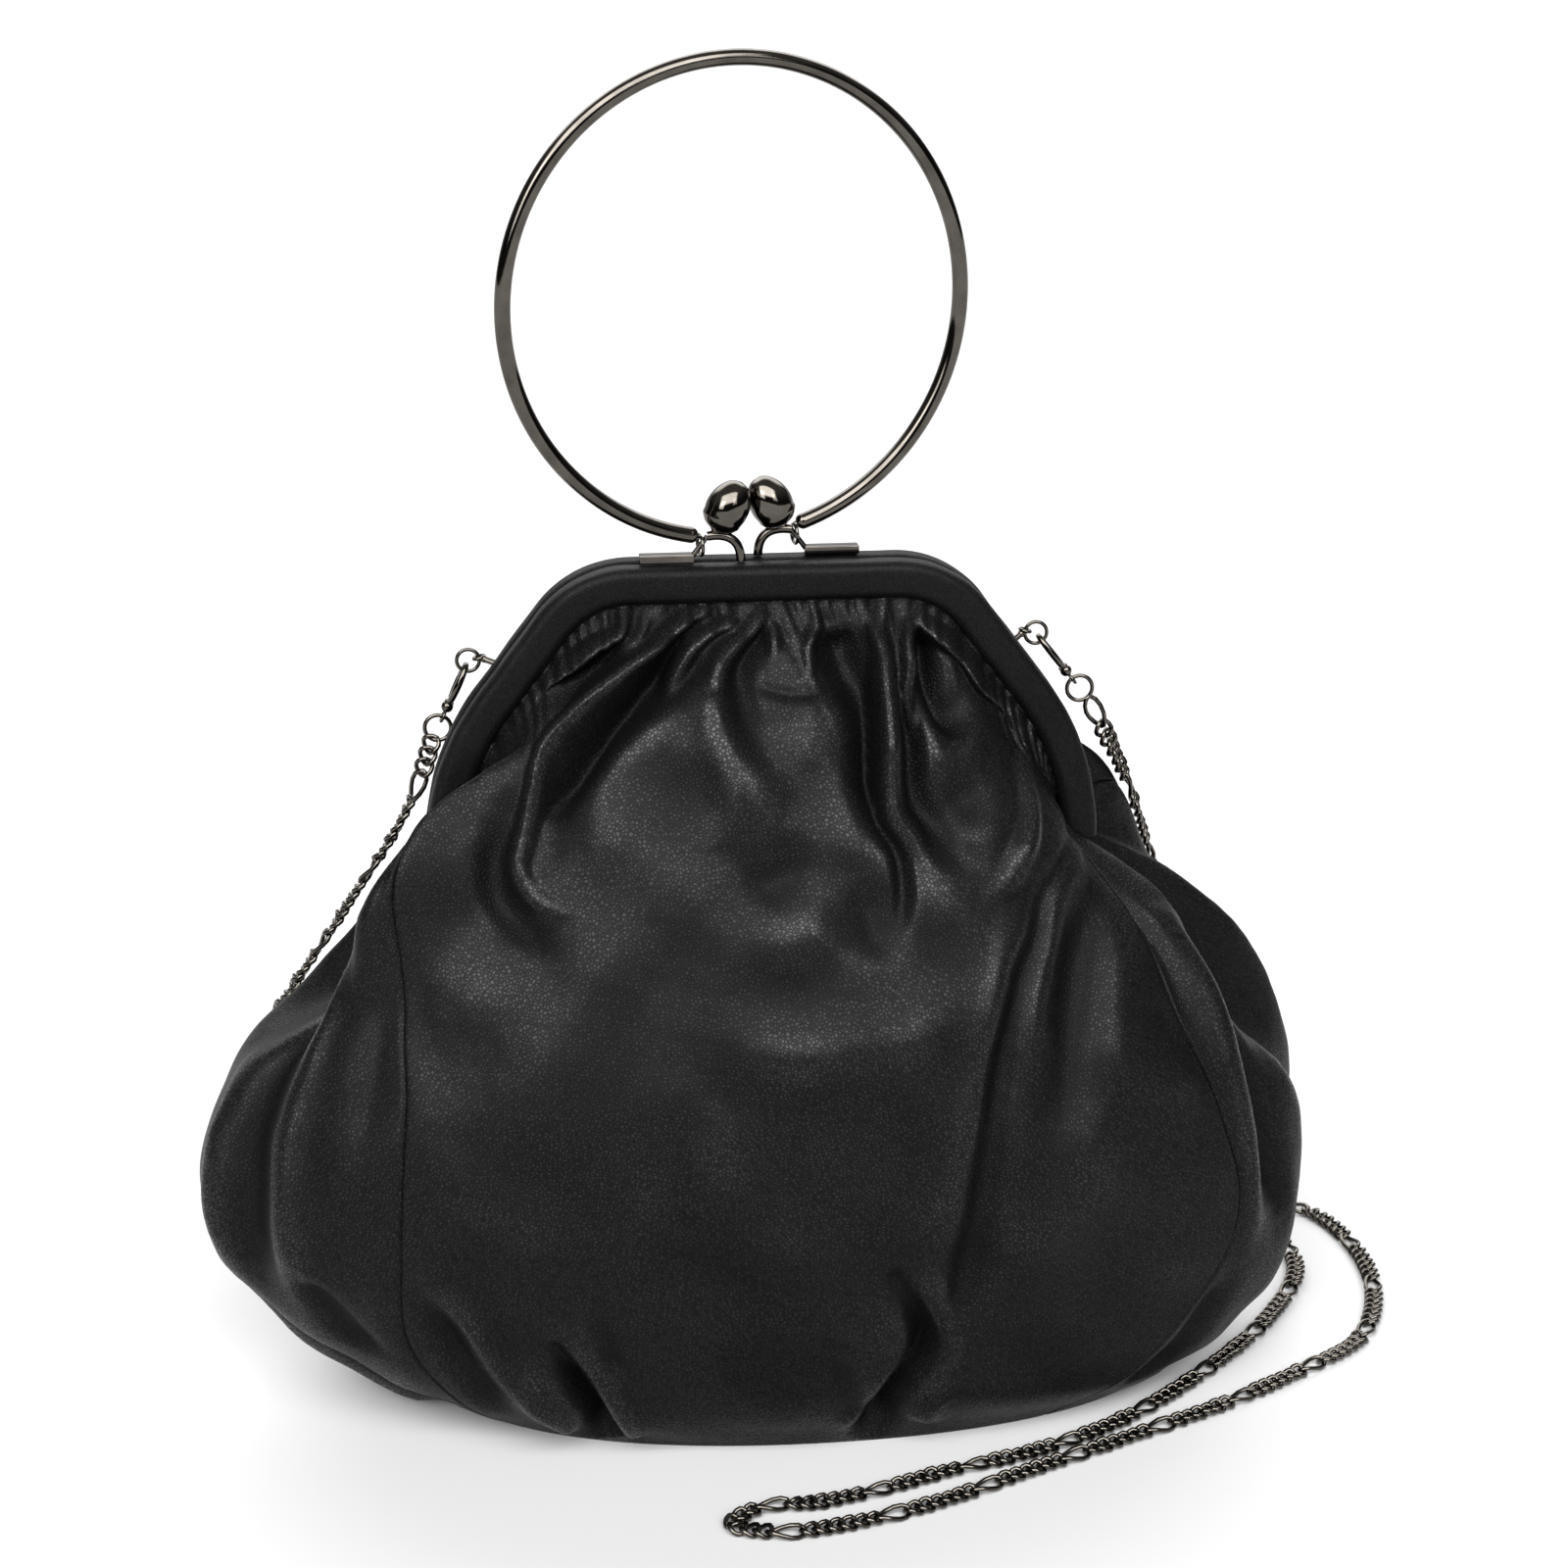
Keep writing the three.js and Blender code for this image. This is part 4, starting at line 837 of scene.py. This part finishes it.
def clasp_half(node, sign):
    """One half of the clasp, soldered from its bar, its leg, its curved foot and its knob."""
    place = Matrix.Translation([CLASP["x"] * MM, sign * CLASP["y"] * MM, 0])
    if sign < 0:
        place = place @ Matrix.Rotation(math.pi, 4, "Z")
    half = CLASP["bar_depth"] / 2
    top = (CLASP["arch_top"], 0, ARCH_Z)
    inner = bow(top, (CLASP["inner_foot"], 0, ARCH_Z + CLASP["inner_wire"]),
                (CLASP["inner_foot"], 0, CLASP["bar_z"]), 24)
    tilt = Matrix.Rotation(-CLASP["knob_tilt"], 4, "Y") @ Matrix.Rotation(CLASP["knob_inwards"], 4, "X")
    parts = [
        bar((CLASP["bar_inner"], -half, CLASP["bar_z"]),
            (CLASP["bar_outer"], half, CLASP["bar_z"] + CLASP["bar_thick"]), CLASP["bar_round"]),
        wire([(CLASP["leg_foot"], 0, LEG_Z), top], CLASP["outer_wire"]),
        wire(inner, CLASP["inner_wire"]),
        turned_knob(KNOB, (CLASP["arch_top"] - CLASP["knob_inside"], 0, ARCH_Z), tilt),
    ]
    for part in parts:
        part.matrix_world = place @ part.matrix_world
    metal_piece(parts, node, "pouch")


clasp_half("clasp_right", 1)
clasp_half("clasp_left", -1)


def leg_at(z):
    """How far out the clasp's leg is at a height."""
    share = (z - LEG_Z) / (ARCH_Z - LEG_Z)
    return CLASP["leg_foot"] + (CLASP["arch_top"] - CLASP["leg_foot"]) * share


def ring_handle():
    """The open ring, its two ends narrowed into necks and eyes round the legs of the clasp."""
    eyes = []
    for sign in (-1, 1):
        z = HANDLE["axis_z"] + sign * HANDLE["eye_rise"]
        eyes.append(Vector((CLASP["x"] + sign * leg_at(z), sign * CLASP["y"], z)))
    along = (eyes[1] - eyes[0]).normalized()
    facing = along.cross(Vector((0, 0, 1))).normalized()
    up = facing.cross(along)
    middle = (eyes[0] + eyes[1]) / 2
    half_open = (eyes[1] - eyes[0]).length / 2 + HANDLE["beyond_eye"]
    rise = HANDLE["above_axis"] + math.sqrt(HANDLE["radius"] ** 2 - half_open ** 2)
    centre = middle + up * rise
    gap = math.asin(half_open / HANDLE["radius"])
    turns = np.linspace(gap, 2 * math.pi - gap, 161)
    arc = [centre + (along * math.sin(t) - up * math.cos(t)) * HANDLE["radius"] for t in turns]
    parts = [wire([tuple(p) for p in arc], HANDLE["wire"], sides=28)]
    half_span = half_open - HANDLE["beyond_eye"]
    for sign, end, eye in ((1, arc[0], eyes[1]), (-1, arc[-1], eyes[0])):

        def upright(x, z):
            return tuple(middle + along * sign * x + up * z)

        neck = bow(upright(half_span, HANDLE["eye_radius"]),
                   upright(half_span + HANDLE["beyond_eye"] / 2, HANDLE["eye_radius"]),
                   upright(half_open + HANDLE["wire"], HANDLE["above_axis"] + HANDLE["neck_wire"]), 10)
        parts.append(ball(end, HANDLE["wire"]))
        parts.append(wire(neck, HANDLE["neck_wire"]))
        parts.append(ring(eye, along, HANDLE["eye_radius"], HANDLE["eye_wire"], 32, 10))
    metal_piece(parts, "ring_handle", "handle")


ring_handle()


def side_hardware(side):
    """The post on the frame, its jump ring, the hook that hangs in it, and the ring at the chain's end.

    Returns the place where the chain starts."""
    sign, name = side["sign"], side["name"]
    centre = Vector((sign * side["ring_x"], HARDWARE_Y, side["ring_z"]))
    hang = Vector((sign * math.sin(side["tilt"]), 0, -math.cos(side["tilt"])))
    side_ring = ring(centre, (0, 1, 0), SIDE_RING["radius"], SIDE_RING["wire"])
    metal_piece([side_ring], "side_ring_" + name, "pouch")

    inwards = Vector((-sign * math.cos(POST["above_ring"]), 0, math.sin(POST["above_ring"])))
    hold = centre + inwards * SIDE_RING["radius"]
    foot_y = RAIL["y"] + RAIL["depth"] / 2 + POST["off_rail"] + POST["wire"] / 2
    foot = Vector((sign * side["rail_x"], foot_y, side["rail_z"]))
    stem = (foot - hold).normalized()
    metal_piece([
        wire([tuple(hold + stem * POST["eye_radius"]), tuple(foot)], POST["wire"]),
        ball(hold + stem * (POST["eye_radius"] + POST["bead_off_eye"]), POST["wire"] * POST["bead"]),
        ring(hold, inwards.cross(Vector((0, 1, 0))), POST["eye_radius"], POST["eye_wire"], 28, 10),
    ], "post_" + name, "pouch")

    seat = centre + hang * SIDE_RING["radius"]
    across = Vector((0, 1, 0))

    def hung(x, y):
        return tuple(seat + across * x - hang * y)

    def oval(start, end, count):
        middle = HOOK["top_above_ring"] - HOOK["half_length"]
        turns = np.linspace(start, end, count)
        return [hung(HOOK["half_width"] * math.sin(t), middle + HOOK["half_length"] * math.cos(t))
                for t in turns]

    crook = oval(-math.pi, HOOK["nose_at"], 40)
    thick = HOOK["wire"] * np.interp(np.linspace(0, 1, len(crook)), *zip(*HOOK_SWELL))
    collar = hung(0, -HOOK["ball_at"] + HOOK["collar_above"])
    metal_piece([
        wire(crook, 1, radii=thick),
        ball(crook[-1], HOOK["wire"] * HOOK["nose"]),
        wire([crook[0], hung(0, -HOOK["ball_at"])], HOOK["wire"]),
        ball(hung(0, -HOOK["ball_at"]), HOOK["ball"]),
        ring(collar, hang, HOOK["collar_radius"], HOOK["collar_wire"], 24, 10),
        ring(hung(0, -HOOK["eye_at"]), across.cross(hang), HOOK["eye_radius"], HOOK["eye_wire"], 28, 10),
    ], "hook_" + name, "pouch")
    lever = oval(HOOK["lever_tip"], HOOK["lever_pivot"], 20)
    metal_piece([
        wire(lever, HOOK["lever_wire"]),
        ball(lever[0], HOOK["lever_wire"]),
        ball(lever[-1], HOOK["lever_wire"] * HOOK["pivot"]),
    ], "hook_lever_" + name, "lever_" + name)
    below = hung(0, -HOOK["eye_at"] - END_RING["radius"])
    end_ring = ring(below, across, END_RING["radius"], END_RING["wire"])
    metal_piece([end_ring], "end_ring_" + name, "pouch")
    return seat + hang * (HOOK["eye_at"] + 2 * END_RING["radius"] + END_RING["wire"] + CHAIN_GAP)


CHAIN_ENDS = [side_hardware(side) for side in SIDES]

# The shoulder chain: the way it hangs and lies, then its links, a long one after each run of curb links.
CHAIN_FLOOR = 1.6
CHAIN_DOWN_LEFT = (
    (-94, 14, 178), (-101, 17, 163), (-110, 21, 148), (-119, 26, 133), (-130, 32, 115), (-140, 40, 97),
    (-147, 52, 77), (-147, 66, 54), (-138, 80, 30), (-120, 90, 10),
)
CHAIN_ON_FLOOR = (
    (-98, 94), (-60, 95), (0, 95), (60, 95), (120, 95), (160, 92), (184, 80), (192, 52), (189, 20), (176, -8),
    (155, -24), (128, -41), (96, -57), (65, -72), (39, -85), (16, -93), (-5, -96), (-18, -91), (-10, -83),
    (6, -82), (24, -77), (42, -70), (70, -61), (98, -46), (130, -18), (154, 10), (170, 40), (170, 66),
)
CHAIN_UP_RIGHT = (
    (160, 82, 12), (148, 80, 42), (138, 68, 80), (127, 50, 116), (115, 33, 149), (107, 22, 169),
    (99, 15, 185),
)
LINKS = dict(wire=0.70, sides=6, steps=14, twist=0.80, run=6, long_at=3, first=0.6, last=0.4, play=0.05,
             curb_half=2.48, curb_width=2.3, long_half=5.2, long_width=2.3, long_pointed=0.35,
             chord=0.8, loose=0.16, hangs_looser=0.1)
# The heights between which the links turn from lying to hanging, and how far from the ends they turn.
LYING = (4, 26)
TURNING = (2, 30)
# Which way a link's flat face looks where the chain hangs, and where it lies.
HANGING_FACE = np.array((1.0, -0.3, 0.25))
LYING_FACE = np.array((0, 0, 1.0))


def link_rings(half, width, pointed):
    """Rings of points round one link's wire, an oval twisted to thread its neighbours and lie flat."""
    turns = np.linspace(0, 2 * math.pi, LINKS["steps"], endpoint=False)

    def middle(t):
        narrow = 1 - pointed * (1 - np.abs(np.sin(t)))
        return np.stack([half * np.cos(t), width * np.sin(t) * narrow, LINKS["twist"] * np.sin(2 * t)], -1)

    centre = middle(turns)
    along = middle(turns + 0.01) - middle(turns - 0.01)
    along /= np.linalg.norm(along, axis=1, keepdims=True)
    up = np.array((0, 0, 1.0)) - along * along[:, 2:]
    up /= np.linalg.norm(up, axis=1, keepdims=True)
    out = np.cross(along, up)
    round_wire = np.linspace(0, 2 * math.pi, LINKS["sides"], endpoint=False)
    return (centre[:, None] + LINKS["wire"] * (np.cos(round_wire)[None, :, None] * up[:, None]
                                               + np.sin(round_wire)[None, :, None] * out[:, None]))


def link_half(number):
    """Half the length of a link, by its number along the chain."""
    is_long = number % (LINKS["run"] + 1) == LINKS["long_at"]
    return LINKS["long_half"] if is_long else LINKS["curb_half"]


def shoulder_chain():
    """The chain's links along its way, each threaded through the last, as one mesh."""
    on_floor = [(x, y, CHAIN_FLOOR) for x, y in CHAIN_ON_FLOOR]
    first, last = (tuple(end) for end in CHAIN_ENDS)
    way = drawn([first, *CHAIN_DOWN_LEFT, *on_floor, *CHAIN_UP_RIGHT, last], 4000)
    along = np.concatenate([[0], np.cumsum(np.linalg.norm(np.diff(way, axis=0), axis=1))])

    def on_way(distance):
        return np.array([np.interp(distance, along, way[:, k]) for k in range(3)])

    rng = np.random.default_rng(3)
    curb = link_rings(LINKS["curb_half"], LINKS["curb_width"], 0.0)
    long = link_rings(LINKS["long_half"], LINKS["long_width"], LINKS["long_pointed"])
    steps, sides = curb.shape[:2]
    at = np.arange(steps * sides).reshape(steps, sides)
    beside = np.roll(at, -1, axis=1)
    corners = [at, beside, np.roll(beside, -1, axis=0), np.roll(at, -1, axis=0)]
    link_faces = np.stack(corners, -1).reshape(-1, 4)
    points, faces = [], []
    centre, number = LINKS["first"], 0
    while centre < along[-1] - LINKS["last"]:
        half = link_half(number)
        spot = on_way(centre)
        reach = half * LINKS["chord"]
        tangent = on_way(centre + reach) - on_way(centre - reach)
        tangent /= np.linalg.norm(tangent)
        lying = 1 - smoothstep(spot[2], *LYING)
        flat = HANGING_FACE * (1 - lying) + LYING_FACE * lying
        flat -= tangent * (flat @ tangent)
        flat /= np.linalg.norm(flat)
        level_side = np.cross(flat, tangent)
        from_end = min(centre, along[-1] - centre)
        roll = math.pi / 2 * float(1 - smoothstep(from_end, *TURNING))
        roll += rng.uniform(-1, 1) * (LINKS["loose"] + LINKS["hangs_looser"] * (1 - lying))
        up = flat * math.cos(roll) + level_side * math.sin(roll)
        side = level_side * math.cos(roll) - flat * math.sin(roll)
        link = long if half == LINKS["long_half"] else curb
        placed = spot + link[..., :1] * tangent + link[..., 1:2] * side + link[..., 2:] * up
        faces.append(link_faces + number * steps * sides)
        points.append(placed.reshape(-1, 3))
        number += 1
        centre += half + link_half(number) - 2 * LINKS["wire"] - LINKS["play"]
    mesh = bpy.data.meshes.new("shoulder_chain_links")
    mesh.from_pydata((np.concatenate(points) * MM).tolist(), [], np.concatenate(faces).tolist())
    mesh.polygons.foreach_set("use_smooth", np.ones(len(mesh.polygons), bool))
    obj = add_object("shoulder_chain_links", mesh)
    finish_piece(obj, obj.name, "shoulder_chain", "pouch", GUNMETAL)


shoulder_chain()

# A pale floor, soft light from broad lamps in front and behind, and the camera.
bpy.ops.object.select_all(action="DESELECT")
bpy.ops.mesh.primitive_plane_add(size=60)
floor = bpy.context.object
floor.name = "floor"
floor_material, floor_shader, floor_place = new_material("pale floor")
feed(floor_shader, "Base Color", noise(floor_place, 3.0).tint((0.50, 0.50, 0.50), (0.52, 0.52, 0.52)))
floor_shader.inputs["Roughness"].default_value = 0.9
floor_shader.inputs["Specular IOR Level"].default_value = 0.1
floor.data.materials.append(floor_material)

world = bpy.data.worlds.new("studio")
bpy.context.scene.world = world
world.use_nodes = True
sky = world.node_tree
facing = Shade(sky, sky.nodes.new("ShaderNodeTexCoord").outputs["Generated"])


def softbox(azimuth, elevation, half_wide, half_high, soft):
    """1 inside an oblong of sky and 0 outside, in degrees, with the azimuth from the front to the right."""
    az, el = math.radians(azimuth), math.radians(elevation)
    ahead = Vector((math.sin(az) * math.cos(el), -math.cos(az) * math.cos(el), math.sin(el)))
    right = Vector((math.cos(az), math.sin(az), 0))
    up = ahead.cross(right)
    reach = [facing.put("ShaderNodeVectorMath", {"operation": "DOT_PRODUCT"}, 1, i0=facing, i1=tuple(axis))
             for axis in (ahead, right, up)]
    depth = reach[0].math("MAXIMUM", reach[0], 0.02)
    wide = depth.math("ABSOLUTE", reach[1] / depth)
    high = depth.math("ABSOLUTE", reach[2] / depth)
    edge_w, edge_h = math.tan(math.radians(half_wide)), math.tan(math.radians(half_high))
    past_w = wide.between(edge_w * (1 - soft), edge_w * (1 + soft))
    past_h = high.between(edge_h * (1 - soft), edge_h * (1 + soft))
    return (1 - past_w) * (1 - past_h) * reach[0].between(0.02, 0.1)


SKY = dict(low=0.04, overhead=0.3, from_height=0.2, to_height=0.9)
LAMPS = (
    dict(bright=8.5, azimuth=-8, elevation=44, half_wide=34, half_high=19, soft=0.2),
    dict(bright=6.0, azimuth=-36, elevation=24, half_wide=11, half_high=12, soft=0.2),
    dict(bright=3.0, azimuth=27, elevation=25, half_wide=9, half_high=12, soft=0.2),
    dict(bright=4.4, azimuth=176, elevation=44, half_wide=38, half_high=20, soft=0.3),
    dict(bright=0.6, azimuth=180, elevation=12, half_wide=60, half_high=11, soft=0.3),
)
height = facing.put("ShaderNodeSeparateXYZ", {}, 2, Vector=facing)
glow = SKY["low"] + SKY["overhead"] * height.between(SKY["from_height"], SKY["to_height"])
for lamp in LAMPS:
    oblong = {key: value for key, value in lamp.items() if key != "bright"}
    glow = glow + lamp["bright"] * softbox(**oblong)
sky.links.new(glow.socket, sky.nodes["Background"].inputs["Strength"])
sky.nodes["Background"].inputs["Color"].default_value = (1, 1, 1, 1)

CAMERA = dict(target=(6, 0, 178), distance=900, azimuth=math.radians(-6.5), elevation=math.radians(18),
              lens=74.925)
back = Vector((math.sin(CAMERA["azimuth"]) * math.cos(CAMERA["elevation"]),
               -math.cos(CAMERA["azimuth"]) * math.cos(CAMERA["elevation"]), math.sin(CAMERA["elevation"])))
bpy.ops.object.camera_add(location=(Vector(CAMERA["target"]) + back * CAMERA["distance"]) * MM,
                          rotation=back.to_track_quat("Z", "Y").to_euler())
camera = bpy.context.object
camera.data.lens = CAMERA["lens"]
camera.data.sensor_width = 36
bpy.context.scene.camera = camera
bpy.context.scene.view_settings.view_transform = "Standard"
